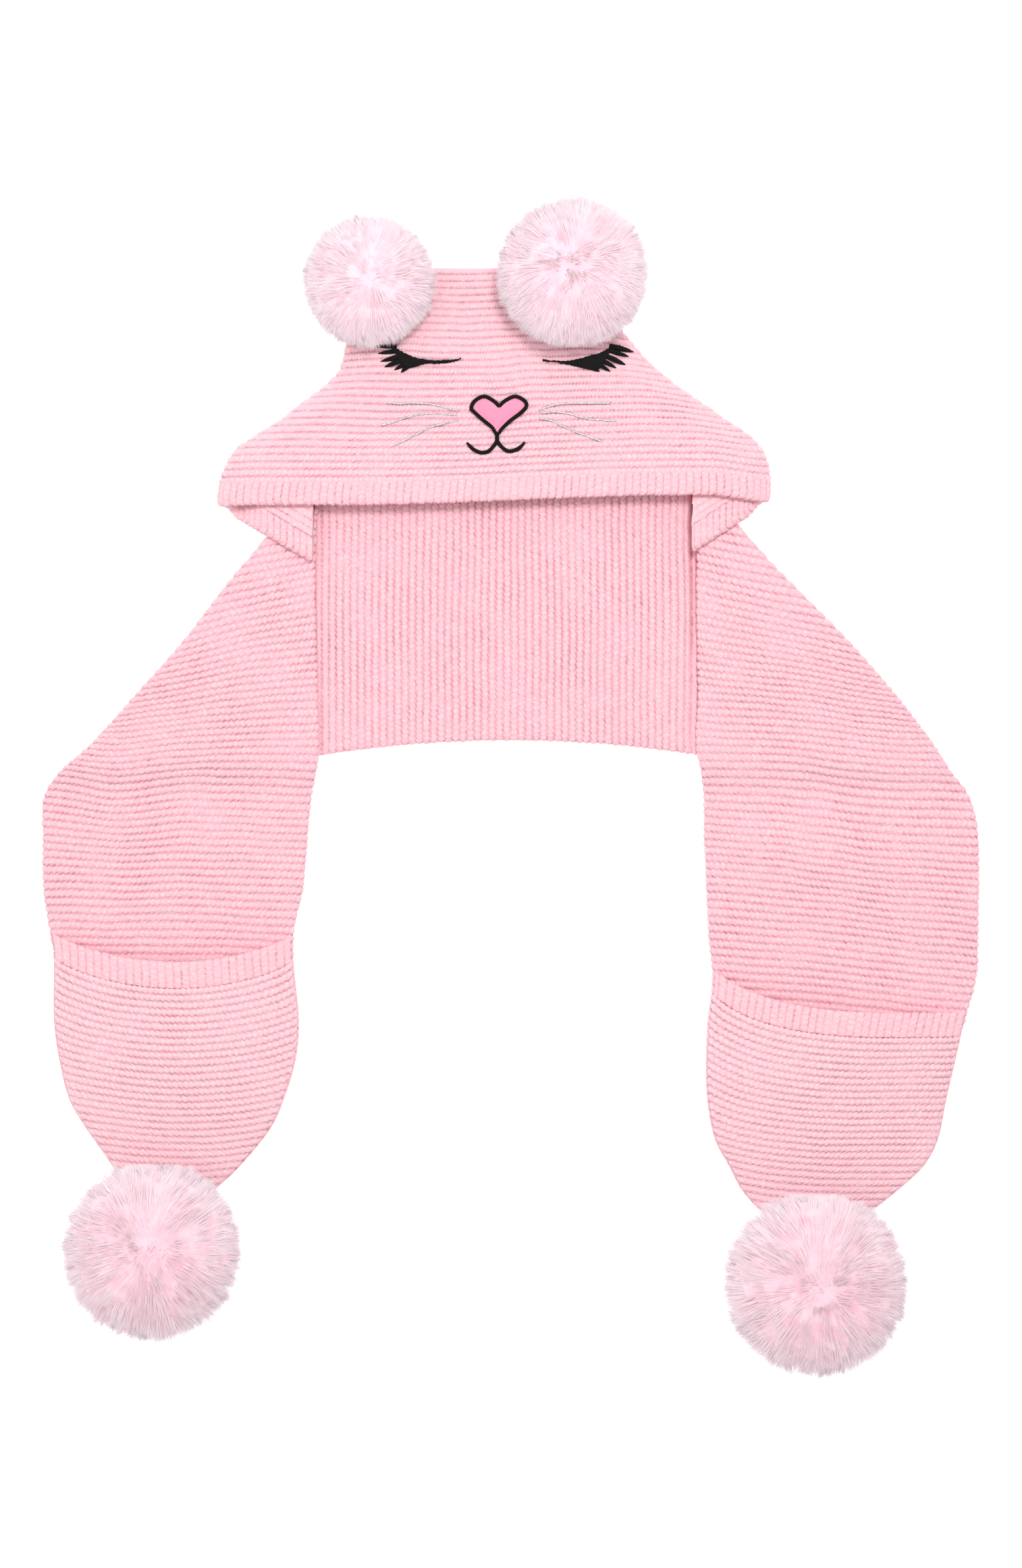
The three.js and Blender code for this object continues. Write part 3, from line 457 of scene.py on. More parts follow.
# Neck panel: its ridges run up the photo, because the strip is folded at both shoulders
def make_panel():
    """It is sunk and plain in a narrow gap beside the right tail, and there it is drawn all in the grooves'
    deeper pink with dark dots: a painted shadow.
    """
    clear = FOLD_ROLL + 1.2
    ends = [clear - FOLD_START["left"], FOLD_START["right"] - clear]
    reach = STRIP * FOLD_SLOPE
    first, last = int((ends[0] - reach) / PANEL_RIDGE), int((ends[1] + reach) / PANEL_RIDGE)
    seen = int((NECK["left"] + 8) / PANEL_RIDGE)
    ridge = ridge_rows(first, last, -seen, seen)
    x = ridge * PANEL_RIDGE
    head = -np.maximum(0, np.maximum(ends[0] - x, x - ends[1])) / FOLD_SLOPE
    foot = PANEL_FOOT + 1.5 + PANEL_SAG * (1 - np.clip((x / NECK["left"]) ** 2, 0, 1))
    width = np.maximum(0.5, head - foot)
    top = columns(width, EDGE_STEPS, int(STRIP / STITCH * STEPS_PER_STITCH) - 2)
    under = columns(width, UNDER_STEPS, 8)[:, ::-1]
    step = np.hstack([top, under])
    upper = np.arange(step.shape[1]) < top.shape[1]
    y = head - step
    across = x + 0.6 * rumple(x, y, 5)
    side_end = np.minimum(ridge - first, last - ridge) * PANEL_RIDGE
    edge = np.minimum(
        np.minimum(round_edge(step, KNIT / 2), round_edge(width - step, KNIT / 2)),
        round_edge(side_end + 0.2, KNIT / 2),
    )
    z = KNIT / 2 * (1 + np.where(upper, edge, -edge))
    beside_tail = ease(x, NECK["right"] - 6, NECK["right"] - 3.4)
    sunk = np.where(upper, beside_tail, 0) * (1 - 0.75 * ease(-y, 70, 130))
    z = z - PANEL_SINK * sunk
    points = np.stack([across, y, z], axis=2)
    shows = np.where(upper, 1.0, 0.0) * (1 - ease(np.abs(x), NECK["left"] + 2, NECK["left"] + 7))
    # In the gap the ridge and stitch numbers are snapped so that the yarn is drawn only in its groove
    # colour with dark dots: a painted shadow
    ridge_with_painted_shadow = mix(ridge + 0 * step, np.round(ridge) + 0 * step, sunk)
    stitch = mix(step / STITCH, np.round(step / STITCH) + 0.5, sunk)
    return knit("strip_middle", points, stitch, ridge_with_painted_shadow, shows * (1 - sunk), 12)


# Hood: loops that go across the front, round the right fold, back under and round the left fold
FOLD_SHARES = np.append(0, FOLD_STEPS) / HOOD_WIDTH
FRONT_EDGE = 6.0 / HOOD_WIDTH
FRONT_STEPS = int(HOOD_WIDTH / STITCH * STEPS_PER_STITCH)
FRONT_SHARES = np.concatenate([
    FOLD_SHARES, np.linspace(FRONT_EDGE, 1 - FRONT_EDGE, FRONT_STEPS), 1 - FOLD_SHARES[::-1],
])
HOOD_LAP = 3 * SEAM_LAP
RIM_TUCK = 0.5
RIM_SWELL = 0.1


def free_edge_y(side, x, depth):
    """Height of the lower layer's free edge, or of a line that lies that deep inside it."""
    (cx, cy), (nx, ny) = FREE_EDGE[side]
    along = np.array([nx - cx, ny - cy]) / math.hypot(nx - cx, ny - cy)
    inward = np.array([-along[1], along[0]]) * -SIDE[side]
    return cy + inward[1] * depth + (x - cx - inward[0] * depth) * along[1] / along[0]


def under_rim(x, depth):
    """Where the lower layer begins: at its free edge near the corners, and at the neck seam."""
    seam = GAP + 0 * x
    left = free_edge_y("left", x, depth)
    right = free_edge_y("right", x, depth)
    return np.where(x < SEAM_END["left"], left, np.where(x > SEAM_END["right"], right, seam))


def hood_shell(share, y, inset, front):
    """A point of the hood's skin, inset from its outside, on its front or on its underside."""
    level = np.minimum(y, HOOD_TOP)
    left = hood_edge("left", level) + inset
    right = hood_edge("right", level) - inset
    x = mix(left, right, share)
    rest, face = hood_layers(x, level)
    low, high = rest + inset, face - inset
    radius = np.minimum(KNIT, (high - low) / 2)
    step = np.minimum(share, 1 - share) * (right - left)
    edge = np.minimum(round_edge(step, radius), round_edge(HOOD_TOP - inset - y, radius))
    centre = rest + KNIT
    return np.stack([x, y + 0 * x, centre + (np.where(front, high, low) - centre) * edge], axis=2)


def make_hood():
    """A hollow bag: its inside first, then its outside with the knitting. The outside is tucked
    in at the rim, under the ribbed band."""
    level = -HEM_DROP + HOOD_BAND
    left, right = hood_edge("left", level), hood_edge("right", level)
    seam_left, seam_right = SEAM_END["left"], SEAM_END["right"]
    under_x = np.concatenate([
        np.linspace(right - 1, seam_right + 1, 14), seam_right + np.array([0.1, -0.1, -0.3]),
        np.linspace(seam_right - 8, seam_left + 8, 22), seam_left + np.array([0.3, 0.1, -0.1]),
        np.linspace(seam_left - 1, left + 1, 18),
    ])
    share = np.concatenate([FRONT_SHARES, (under_x - left) / (right - left)])
    front = np.arange(len(share)) < len(FRONT_SHARES)
    x = mix(left, right, share)
    seam = HOOD_BAND - HOOD_LAP
    rim = np.where(front, hem_y(x) + seam, under_rim(x, seam))
    outer = ridge_rows(0, HOOD_RIDGES, 0, HOOD_RIDGES)
    inner_rows = np.concatenate([[1.0, 0.985, 0.95], np.linspace(0.9, 0, 37)])[:, None]
    parts, ridges = [], []
    for inset, t in ((KNIT, inner_rows), (0.0, outer / HOOD_RIDGES)):
        y = mix(rim, HOOD_TOP - inset, t)
        y = y + rumple(x + 0 * y, y, 8) * np.sin(math.pi * np.clip(t, 0, 1)) ** 0.7
        tuck = RIM_TUCK * (1 - ease(y - rim, 0, 1.4)) - RIM_SWELL * ease(y - rim, 0.8, 1.6)
        parts.append(hood_shell(share, y, inset + tuck, front))
        ridges.append(t * HOOD_RIDGES + 0 * y)
    points = np.concatenate(parts)
    ridge = np.concatenate(ridges)
    stitch = x / STITCH + 0 * ridge
    shows = np.zeros(points.shape[:2])
    shows[len(inner_rows):] = ease(outer, 0, 0.5) * (1 - ease(outer, HOOD_RIDGES - 0.6, HOOD_RIDGES))
    return knit("hood_bag", points, stitch, ridge, shows, 13)


def make_hood_band():
    """The ribbed band: along the hem in front, and turned under at both corners, where it
    follows the lower layer's free edge."""
    level = -HEM_DROP + HOOD_BAND / 2
    left, right = hood_edge("left", level), hood_edge("right", level)
    width = right - left
    step = HOOD_RIB / STEPS_PER_RIB
    clear = FOLD_STEPS[-1]

    def from_fold(end):
        return np.concatenate([FOLD_STEPS, np.arange(clear + step, end, step)])

    front = np.concatenate([[0], from_fold(width - clear), width - FOLD_STEPS[::-1], [width]])
    under_right = width - from_fold(right - SEAM_END["right"])
    under_left = from_fold(SEAM_END["left"] - left)[::-1]
    along = np.concatenate([under_left, front, under_right])
    number = np.arange(len(along)) - len(under_left)
    is_front = (number >= 0) & (number < len(front))
    x = left + along
    side_left = x < 0
    edge_line = np.where(side_left, free_edge_y("left", x, 0), free_edge_y("right", x, 0))
    rim_line = np.where(
        side_left, free_edge_y("left", x, HOOD_BAND), free_edge_y("right", x, HOOD_BAND),
    )
    turned = ease(np.minimum(along, width - along), 0, 12)
    low = np.where(is_front, hem_y(x), mix(hem_y(x), edge_line, turned))
    high = np.where(is_front, hem_y(x) + HOOD_BAND, mix(hem_y(x) + HOOD_BAND, rim_line, turned))
    low = low - 0.35 * np.cos(4 * math.pi * along / HOOD_RIB)
    across = np.array([0, 0.25, 0.8, 1.7, 2.8, 4.6, 6.5, 8.5, 10.5, 12.2, 13.2, 13.75, 14]) / HOOD_BAND
    loops = []
    for inset, shares in ((0.0, across), (KNIT, across[::-1])):
        y = mix(low[:, None], high[:, None], shares)
        share = (along / width)[:, None] + 0 * y
        loops.append(hood_shell(share, y, inset, is_front[:, None] + 0 * y > 0.5))
    outer, inner = loops
    inner = inner[:, ::-1]
    from_seam = (1 - across) * HOOD_BAND
    thin = np.minimum(round_edge(across * HOOD_BAND, KNIT / 2), round_edge(from_seam, SEAM_ROUND))
    thin = thin[None, :, None]
    middle = (outer + inner) / 2
    outer, inner = mix(middle, outer, thin), mix(middle, inner, thin)
    points = np.concatenate([outer, inner[:, -2:0:-1]], axis=1)
    path = np.concatenate([[0], np.cumsum(np.linalg.norm(np.diff(outer[:, 6], axis=0), axis=1))])
    ridge = (path / HOOD_RIB)[:, None] + 0 * points[..., 0]
    stitch = np.concatenate([across, across[-2:0:-1]])[None, :] * HOOD_BAND / STITCH + 0 * ridge
    inside = np.ones(points.shape[1] - len(across))
    shows = np.concatenate([ease(from_seam, 0.4, 3.5), inside])[None, :] + 0 * ridge
    return knit("hood_rib", points, stitch, ridge, shows, 14, ribbed=True)


# Pockets: a second layer on each tail, open at its ribbed mouth
def pocket_skin(side, share, y, front, width, ends):
    """Points of a pocket's layer, front and back, thinned towards its sides and its ends."""
    rest = KNIT + GAP
    low = rest + pocket_rise(side, share, y)
    high = low + KNIT + 2 * GAP
    edge = np.minimum(
        np.minimum(round_edge(share * width, KNIT / 2), round_edge((1 - share) * width, KNIT / 2)),
        round_edge(ends, KNIT / 2),
    )
    reach = (high - low) / 2 * edge
    return np.stack([
        pocket_across(side, share, y), y, (low + high) / 2 + np.where(front, reach, -reach),
    ], axis=2)


def make_pocket(side):
    end = -TAIL_LENGTH[side] + KNIT
    start = POCKET_BAND[side] - SEAM_LAP
    height = TAIL_LENGTH[side] - POCKET_MOUTH[side] - start - 0.7 * POCKET_SAG[side]
    count = int(height / POCKET_RIDGE)
    ridge = ridge_rows(0, count, 0, count)
    middle_y = mix(mouth_y(side, 0.5) - start, end, ridge / count)
    width = np.abs(pocket_across(side, 0, middle_y) - pocket_across(side, 1, middle_y))
    top = columns(width, EDGE_STEPS, int(0.88 * STRIP / STITCH * STEPS_PER_STITCH))
    under = columns(width, UNDER_STEPS, 8)[:, ::-1]
    step = np.hstack([top, under])
    front = np.arange(step.shape[1]) < top.shape[1]
    share = np.clip(step / width, 0, 1)
    head = mouth_y(side, share) - start
    y = mix(head, end, ridge / count)
    ends = np.minimum((head - y) * KNIT / 2 / SEAM_ROUND + 1.2, y - end + 0.15)
    y = y + 0.7 * rumple(share * width, y, 9) * ease(head - y, 2, 14) * ease(y - end, 0, 12)
    points = pocket_skin(side, share, y, front, width, ends)
    shows = np.where(front, 1.0, 0.0) + 0 * y
    return knit(f"pocket_face_{side}", points, step / STITCH, ridge + 0 * step, shows, 15)


def make_pocket_band(side):
    y_line = -POCKET_MOUTH[side] - POCKET_SAG[side] / 2
    width = float(np.abs(pocket_across(side, 0, y_line) - pocket_across(side, 1, y_line)))
    rib = POCKET_RIB / STEPS_PER_RIB
    step = np.concatenate([
        EDGE_STEPS, np.arange(KNIT / 2 + rib, width - KNIT / 2, rib), width - EDGE_STEPS[::-1],
    ])
    share = (step / width)[:, None]
    band = POCKET_BAND[side]
    across = np.concatenate([
        EDGE_STEPS, np.linspace(KNIT / 2, band - KNIT / 2, 7)[1:-1], band - EDGE_STEPS[::-1],
    ])
    down = np.concatenate([across, across[-2:0:-1]])[None, :]
    front = np.arange(down.shape[1]) < len(across)
    y = mouth_y(side, share) - down
    ends = np.minimum(down, (band - down) * KNIT / 2 / SEAM_ROUND) + 0.02
    points = pocket_skin(side, share + 0 * y, y, front, width, ends + 0 * y)
    ridge = share * width / POCKET_RIB + 0 * y
    shows = np.where(front, 1.0, 0.2) * ease(np.minimum(step, width - step), 1, 7)[:, None]
    return knit(f"pocket_rib_{side}", points, down / STITCH + 0 * y, ridge, shows, 16, ribbed=True)


# Fur pompoms: a soft round core with a coat of fine hairs that draw together into wisps
HAIRS = 18000
HAIR_ROOT = 0.8
HAIR_GIRTH = 0.58
HAIR_SIDES = 3
HAIR_FALL = math.radians(24)
WISPS = 800
CORE_SHARE = 0.89
CORE_SWELL = 0.014
WISP_PULL = 0.55
PARTING = 0.2
STRAY = 0.012
FUR_BEYOND = 8.0
FUR_RIM_TONE_AND_PAINTED_LIGHT = 0.35


def unit(vectors):
    """Vectors made one long."""
    return vectors / np.maximum(np.linalg.norm(vectors, axis=1, keepdims=True), 1e-9)


def spread_directions(count, rng, shake):
    """Evenly spread directions, shaken a little."""
    k = np.arange(count) + 0.5
    z = 1 - 2 * k / count
    turn = math.pi * (1 + math.sqrt(5)) * k
    flat = np.sqrt(1 - z * z)
    spread = np.stack([flat * np.cos(turn), flat * np.sin(turn), z], axis=1)
    return unit(spread + rng.normal(0, shake, spread.shape))


def make_pompom(name, centre, radius, part, seed):
    """Long soft fur on a ball that is pressed a little flat. Its hairs fall away from the top, and
    stay above the table and within a few millimetres of the CAD pompom's box."""
    rng = np.random.default_rng(seed)
    height = radius * POMPOM_SQUASH
    scale = np.array([radius, radius, height])
    heart = np.array([centre[0], centre[1], height])
    low, high = (np.array(corner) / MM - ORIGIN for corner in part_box(part))
    low, high = np.append(low[:2] - FUR_BEYOND, 0.15), high + FUR_BEYOND

    def tufts(way, cell, number):
        u, v = (way[:, 0] + 3) * 40, (way[:, 1] + way[:, 2] * 1.3 + 4) * 40
        return wander(u, v, cell, seed + number)

    wisps = spread_directions(WISPS, rng, 0.035)
    wisp_shade = rng.uniform(-0.12, 0.12, WISPS)
    wisp_reach = rng.uniform(-0.03, 0.045, WISPS)
    wisp_lean = rng.normal(0, 0.05, (WISPS, 3))
    deselect()
    bpy.ops.mesh.primitive_ico_sphere_add(subdivisions=6, radius=1)
    bpy.ops.object.shade_smooth()
    core = bpy.context.object
    ball = np.empty(len(core.data.vertices) * 3)
    core.data.vertices.foreach_get("co", ball)
    ball = ball.reshape(-1, 3)
    near = ball @ wisps.T
    swell = CORE_SWELL * tufts(ball, 9, 0) + 0.01 * tufts(ball, 3.5, 12)
    skin = ball * (CORE_SHARE + swell[:, None]) * scale + heart
    core.data.vertices.foreach_set("co", ((skin + ORIGIN) * MM).astype(np.float32).ravel())
    # The core's tone: a little paler where it swells out, a tone for each wisp, and painted shade that
    # darkens it between the wisps
    core_tone_and_painted_shade = 0.3 + 4 * swell + wisp_shade[near.argmax(1)] - 25 * (1 - near.max(1))

    way = spread_directions(HAIRS, rng, 0.01)
    nearest = (way @ wisps.T).argmax(1)
    level = np.hypot(way[:, 0], way[:, 1])[:, None]
    outwards = np.column_stack([way[:, :2] / np.maximum(level, 0.02), np.zeros(len(way))])
    downhill = outwards * way[:, 2:] - level * np.array([[0, 0, 1.0]])
    parting = np.stack([tufts(way, 8, 1 + k) for k in range(3)], axis=1)
    tip = mix(way, wisps[nearest], WISP_PULL) + PARTING * parting + wisp_lean[nearest]
    fall = HAIR_FALL * 2 * level * np.maximum(0, way[:, 2:])
    tip = unit(tip + downhill * np.tan(fall) + rng.normal(0, STRAY, way.shape))
    reach = 1.0 + wisp_reach[nearest] + rng.uniform(-0.02, 0.02, HAIRS) + 0.03 * tufts(way, 4, 9)
    girth = HAIR_GIRTH * rng.uniform(0.6, 1.25, (HAIRS, 1))
    helper = np.where(np.abs(way[:, 2:]) < 0.9, np.array([[0, 0, 1.0]]), np.array([[1.0, 0, 0]]))
    first = unit(np.cross(way, helper))
    second = np.cross(way, first)
    root = heart + way * scale * HAIR_ROOT
    points = []
    for turn in range(HAIR_SIDES):
        angle = 2 * math.pi * turn / HAIR_SIDES
        points.append(root + (first * math.cos(angle) + second * math.sin(angle)) * girth)
    points.append(heart + tip * scale * reach[:, None])
    hairs = np.stack(points, axis=1)
    hairs = np.clip(hairs, low, high).reshape(-1, 3)
    per = HAIR_SIDES + 1
    shape = np.array([(2, 1, 0), (0, 1, 3), (1, 2, 3), (2, 0, 3)])
    numbers = (np.arange(HAIRS)[:, None, None] * per + shape).reshape(-1, 3)
    mesh = bpy.data.meshes.new(name + "_hairs")
    mesh.from_pydata(((hairs + ORIGIN) * MM).tolist(), [], numbers.tolist())
    fur = bpy.data.objects.new(name + "_hairs", mesh)
    bpy.context.scene.collection.objects.link(fur)
    hair_shade = np.repeat(wisp_shade[nearest] + rng.uniform(-0.1, 0.1, HAIRS), per)
    hair_shade += np.tile([0.3] * HAIR_SIDES + [0.65], HAIRS)
    for layer, shade, spots in ((core, core_tone_and_painted_shade, skin), (fur, hair_shade, hairs)):
        smooth = unit((spots - heart) / scale**2)
        # Paler towards the sides and pinker on top: partly the pompom's own tone, partly painted light and
        # shade that evens out its dim sides and bright top
        tone_and_painted_side_light = shade + FUR_RIM_TONE_AND_PAINTED_LIGHT * (1 - np.maximum(0, smooth[:, 2]))
        fur_tone_and_painted_light = layer.data.attributes.new("tip", "FLOAT", "POINT")
        fur_tone_and_painted_light.data.foreach_set("value", tone_and_painted_side_light.astype(np.float32))
        lie = layer.data.attributes.new("lie", "FLOAT_VECTOR", "POINT")
        lie.data.foreach_set("vector", unit(smooth + [0, 0, 0.6]).astype(np.float32).ravel())
        aside = np.maximum(np.hypot(smooth[:, 0], smooth[:, 1]), 0.05)
        streak = np.column_stack([smooth[:, 0] / aside, smooth[:, 1] / aside, 0.12 * smooth[:, 2]])
        combed = layer.data.attributes.new("combed", "FLOAT_VECTOR", "POINT")
        combed.data.foreach_set("vector", streak.astype(np.float32).ravel())
    return joined(name, [core, fur])


# Embroidery on the hood's front, which lies high, so the camera sees it a little further out
FACE_PARALLAX = 1.6


def face_point(across, rise):
    """A point of the face, from its shares of the hood's width and height."""
    return across * HOOD_WIDTH, rise * HOOD_HEIGHT - HEM_DROP - FACE_PARALLAX


def smooth_route(points, count, closed=False):
    """A smooth line through points, at evenly spaced places along it."""
    p = np.array(points, float)
    if closed:
        p = np.vstack([p[-1:], p, p[:2]])
    else:
        p = np.vstack([2 * p[0] - p[1], p, 2 * p[-1] - p[-2]])
    parts = []
    t = np.linspace(0, 1, 24, endpoint=False)[:, None]
    for a, b, c, d in zip(p[:-3], p[1:-2], p[2:-1], p[3:]):
        bend = (2 * a - 5 * b + 4 * c - d) * t**2 + (3 * b - a - 3 * c + d) * t**3
        parts.append(0.5 * (2 * b + (c - a) * t + bend))
    line = np.vstack(parts + [p[-2:-1]])
    gone = np.concatenate([[0], np.cumsum(np.linalg.norm(np.diff(line, axis=0), axis=1))])
    at = np.linspace(0, gone[-1], count, endpoint=not closed)
    return np.stack([np.interp(at, gone, line[:, k]) for k in range(p.shape[1])], axis=1)


def face_route(points, count, closed=False):
    return smooth_route([face_point(*point) for point in points], count, closed)


def cord_mesh(name, line, radii, turns, sides=8, depth=0.12, flat=0.8):
    """A stitched cord that lies on the hood's front: its thread wraps it in slanted turns."""
    x, y = line[:, 0], line[:, 1]
    face = hood_layers(x, y)[1]
    centre = np.stack([x, y, face + STITCH_LIFT + radii * flat], axis=1)
    forward = np.gradient(centre, axis=0)
    forward /= np.linalg.norm(forward, axis=1, keepdims=True)
    aside = np.cross(forward, [0, 0, 1.0])
    aside /= np.linalg.norm(aside, axis=1, keepdims=True)
    above = np.cross(aside, forward)
    gone = np.concatenate([[0], np.cumsum(np.linalg.norm(np.diff(centre, axis=0), axis=1))])
    angle = 2 * math.pi * np.arange(sides) / sides
    wrap = 1 + depth * np.cos(2 * math.pi * gone[:, None] / turns + 1.4 * np.cos(angle)[None])
    ring = radii[:, None, None] * wrap[..., None] * (
        np.cos(angle)[None, :, None] * aside[:, None] + np.sin(angle)[None, :, None] * above[:, None] * flat
    )
    points = centre[:, None] + ring
    ridge = gone[:, None] / turns + 0 * points[..., 0]
    return loops_to_piece(name, points, ridge * 0 + angle[None] / math.pi, ridge)


def joined(name, pieces):
    """Several pieces as one."""
    deselect()
    for piece in pieces:
        piece.select_set(True)
    bpy.context.view_layer.objects.active = pieces[0]
    if len(pieces) > 1:
        bpy.ops.object.join()
    pieces[0].name = pieces[0].data.name = name
    return pieces[0]


# Lines of the face, in shares of the hood's width and height: across, then rise
LASH_UPPER = {
    "left": [(-0.0892, 0.624), (-0.0971, 0.618), (-0.1131, 0.614), (-0.1322, 0.613), (-0.1513, 0.616),
             (-0.1689, 0.623), (-0.1864, 0.639), (-0.2039, 0.661), (-0.2183, 0.678)],
    "right": [(0.0575, 0.621), (0.0655, 0.614), (0.0814, 0.612), (0.1006, 0.611), (0.1197, 0.618),
              (0.1388, 0.631), (0.158, 0.643), (0.1723, 0.66), (0.1851, 0.675)],
}
LASH_LOWER = {
    "left": [(-0.0892, 0.618), (-0.0971, 0.61), (-0.1131, 0.602), (-0.1306, 0.598), (-0.145, 0.599),
             (-0.1577, 0.595), (-0.1689, 0.588), (-0.1784, 0.581), (-0.188, 0.579)],
    "right": [(0.0575, 0.611), (0.0655, 0.606), (0.0799, 0.605), (0.0942, 0.598), (0.1101, 0.591),
              (0.1261, 0.581), (0.1388, 0.574), (0.15, 0.574), (0.1612, 0.578)],
}
# Each lash hair: its root, its tip and its half width at the root (mm)
LASH_HAIRS = {
    "left": [((-0.2135, 0.672), (-0.2444, 0.673), 1.3), ((-0.2087, 0.65), (-0.2381, 0.642), 1.2),
             ((-0.2024, 0.627), (-0.2336, 0.608), 1.4), ((-0.1976, 0.612), (-0.2263, 0.585), 1.5),
             ((-0.1912, 0.597), (-0.2087, 0.572), 1.2), ((-0.1839, 0.591), (-0.1966, 0.562), 1.4)],
    "right": [((0.1873, 0.669), (0.2208, 0.653), 1.6), ((0.1851, 0.648), (0.2122, 0.631), 1.3),
              ((0.1787, 0.623), (0.2058, 0.595), 1.5), ((0.1675, 0.608), (0.1892, 0.581), 1.3),
              ((0.158, 0.597), (0.1787, 0.566), 1.2), ((0.142, 0.588), (0.1596, 0.566), 1.4)],
}
HEART = [
    (-0.0206, 0.4188), (-0.019, 0.424), (-0.0094, 0.445), (0.0081, 0.462), (0.024, 0.445),
    (0.0282, 0.422), (0.0193, 0.396), (-0.0015, 0.359), (-0.0158, 0.328), (-0.0244, 0.306),
    (-0.0333, 0.333), (-0.0493, 0.363), (-0.0652, 0.396), (-0.0707, 0.415), (-0.0636, 0.445),
    (-0.0477, 0.462), (-0.0318, 0.445), (-0.0222, 0.424),
]
MOUTH = [
    [(-0.0222, 0.318), (-0.0244, 0.3), (-0.0251, 0.277), (-0.0295, 0.259), (-0.0397, 0.234),
     (-0.0525, 0.228), (-0.0652, 0.239), (-0.0732, 0.255), (-0.0786, 0.27)],
    [(-0.0276, 0.318), (-0.0247, 0.3), (-0.0235, 0.277), (-0.019, 0.259), (-0.0094, 0.239),
     (0.0001, 0.2335), (0.0129, 0.244), (0.0209, 0.259), (0.025, 0.2715)],
]
WHISKERS = {
    "left": [
        [(-0.2215, 0.437), (-0.1992, 0.431), (-0.1832, 0.435), (-0.1609, 0.434), (-0.1386, 0.428),
         (-0.0955, 0.402)],
        [(-0.2311, 0.342), (-0.2087, 0.356), (-0.1896, 0.373), (-0.1705, 0.385), (-0.145, 0.39),
         (-0.0971, 0.386)],
        [(-0.2094, 0.257), (-0.1896, 0.281), (-0.1705, 0.303), (-0.1513, 0.326), (-0.129, 0.344),
         (-0.0946, 0.363)],
    ],
    "right": [
        [(0.0496, 0.404), (0.0655, 0.417), (0.0814, 0.428), (0.1038, 0.434), (0.1325, 0.434),
         (0.1787, 0.435)],
        [(0.0543, 0.393), (0.0783, 0.398), (0.1006, 0.392), (0.1197, 0.38), (0.142, 0.368),
         (0.1892, 0.359)],
        [(0.0512, 0.371), (0.0719, 0.362), (0.091, 0.341), (0.1101, 0.321), (0.1293, 0.304),
         (0.1637, 0.2745)],
    ],
}
NOSE_CENTRE = (-0.0213, 0.398)
CORD = 1.15
CORD_FLAT = 0.6
CORD_TURN = 1.3
CORD_TWIST = 0.16
WHISKER = 0.55


def make_lash(side):
    """Satin stitch over a low pad, with the lash hairs sewn outwards from it."""
    count = 90
    upper, lower = face_route(LASH_UPPER[side], count), face_route(LASH_LOWER[side], count)
    ragged = wander(upper[:, 0] * 10 + 5000, upper[:, 1] * 0, 8, 51)[:, None] * [[0.1, 0.3]]
    upper, lower = upper + ragged, lower - ragged[::-1]
    across = np.array([0, 0.03, 0.12, 0.3, 0.5, 0.7, 0.88, 0.97, 1.0])
    flat = mix(upper[:, None], lower[:, None], across[None, :, None])
    wide = np.linalg.norm(upper - lower, axis=1)[:, None]
    base = hood_layers(flat[..., 0], flat[..., 1])[1] + STITCH_LIFT
    dome = round_edge(np.minimum(across, 1 - across)[None] * wide, 1.5)
    dome = dome * np.minimum(1.5, 0.5 + 0.16 * wide)
    top = np.dstack([flat, base + 0.7 + dome])
    under = np.dstack([flat, base])[:, [7, 4, 1]]
    loops = np.concatenate([top, under], axis=1)
    zero = 0 * loops[..., 0]
    pieces = [loops_to_piece("lash_pad", loops, zero, zero)]
    for number, (root, tip, half) in enumerate(LASH_HAIRS[side]):
        back = [1.3 * a - 0.3 * b for a, b in zip(root, tip)]
        line = face_route([back, tip], 30)
        widths = [0.9 * half, 1.15 * half, 0.8 * half, 0.25]
        radii = np.interp(np.linspace(0, 1, 30), [0, 0.4, 0.75, 1], widths)
        pieces.append(cord_mesh(f"lash_hair_{number}", line, radii, 0.8, depth=0.12, flat=0.65))
    return joined(f"closed_eye_{side}", pieces)


def heart_line(grow, count=120):
    """The nose's outline, grown outwards."""
    line = face_route(HEART, count, closed=True)
    forward = np.roll(line, -2, 0) - np.roll(line, 2, 0)
    forward /= np.linalg.norm(forward, axis=1, keepdims=True)
    return line + grow * np.column_stack([-forward[:, 1], forward[:, 0]])


NOSE_REST = STITCH_LIFT + float(hood_layers(*heart_line(CORD).T)[1].max())


def make_nose():
    """A pad of satin stitch: long threads side by side over a raised heart."""
    line = heart_line(0)
    centre = np.array([face_point(*NOSE_CENTRE)])
    loops = [np.column_stack([line, np.full(len(line), NOSE_REST - 0.2)])]
    for share in (1.0, 0.97, 0.9, 0.78, 0.62, 0.44, 0.24, 0.05):
        ring = centre + (line - centre) * share
        dome = NOSE_REST + 0.4 + 0.9 * (1 - share**2.5)
        loops.append(np.column_stack([ring, np.full(len(line), dome)]))
    points = np.array(loops)
    zero = 0 * points[..., 0]
    return loops_to_piece("satin_nose", points, zero + np.arange(points.shape[1]), zero)


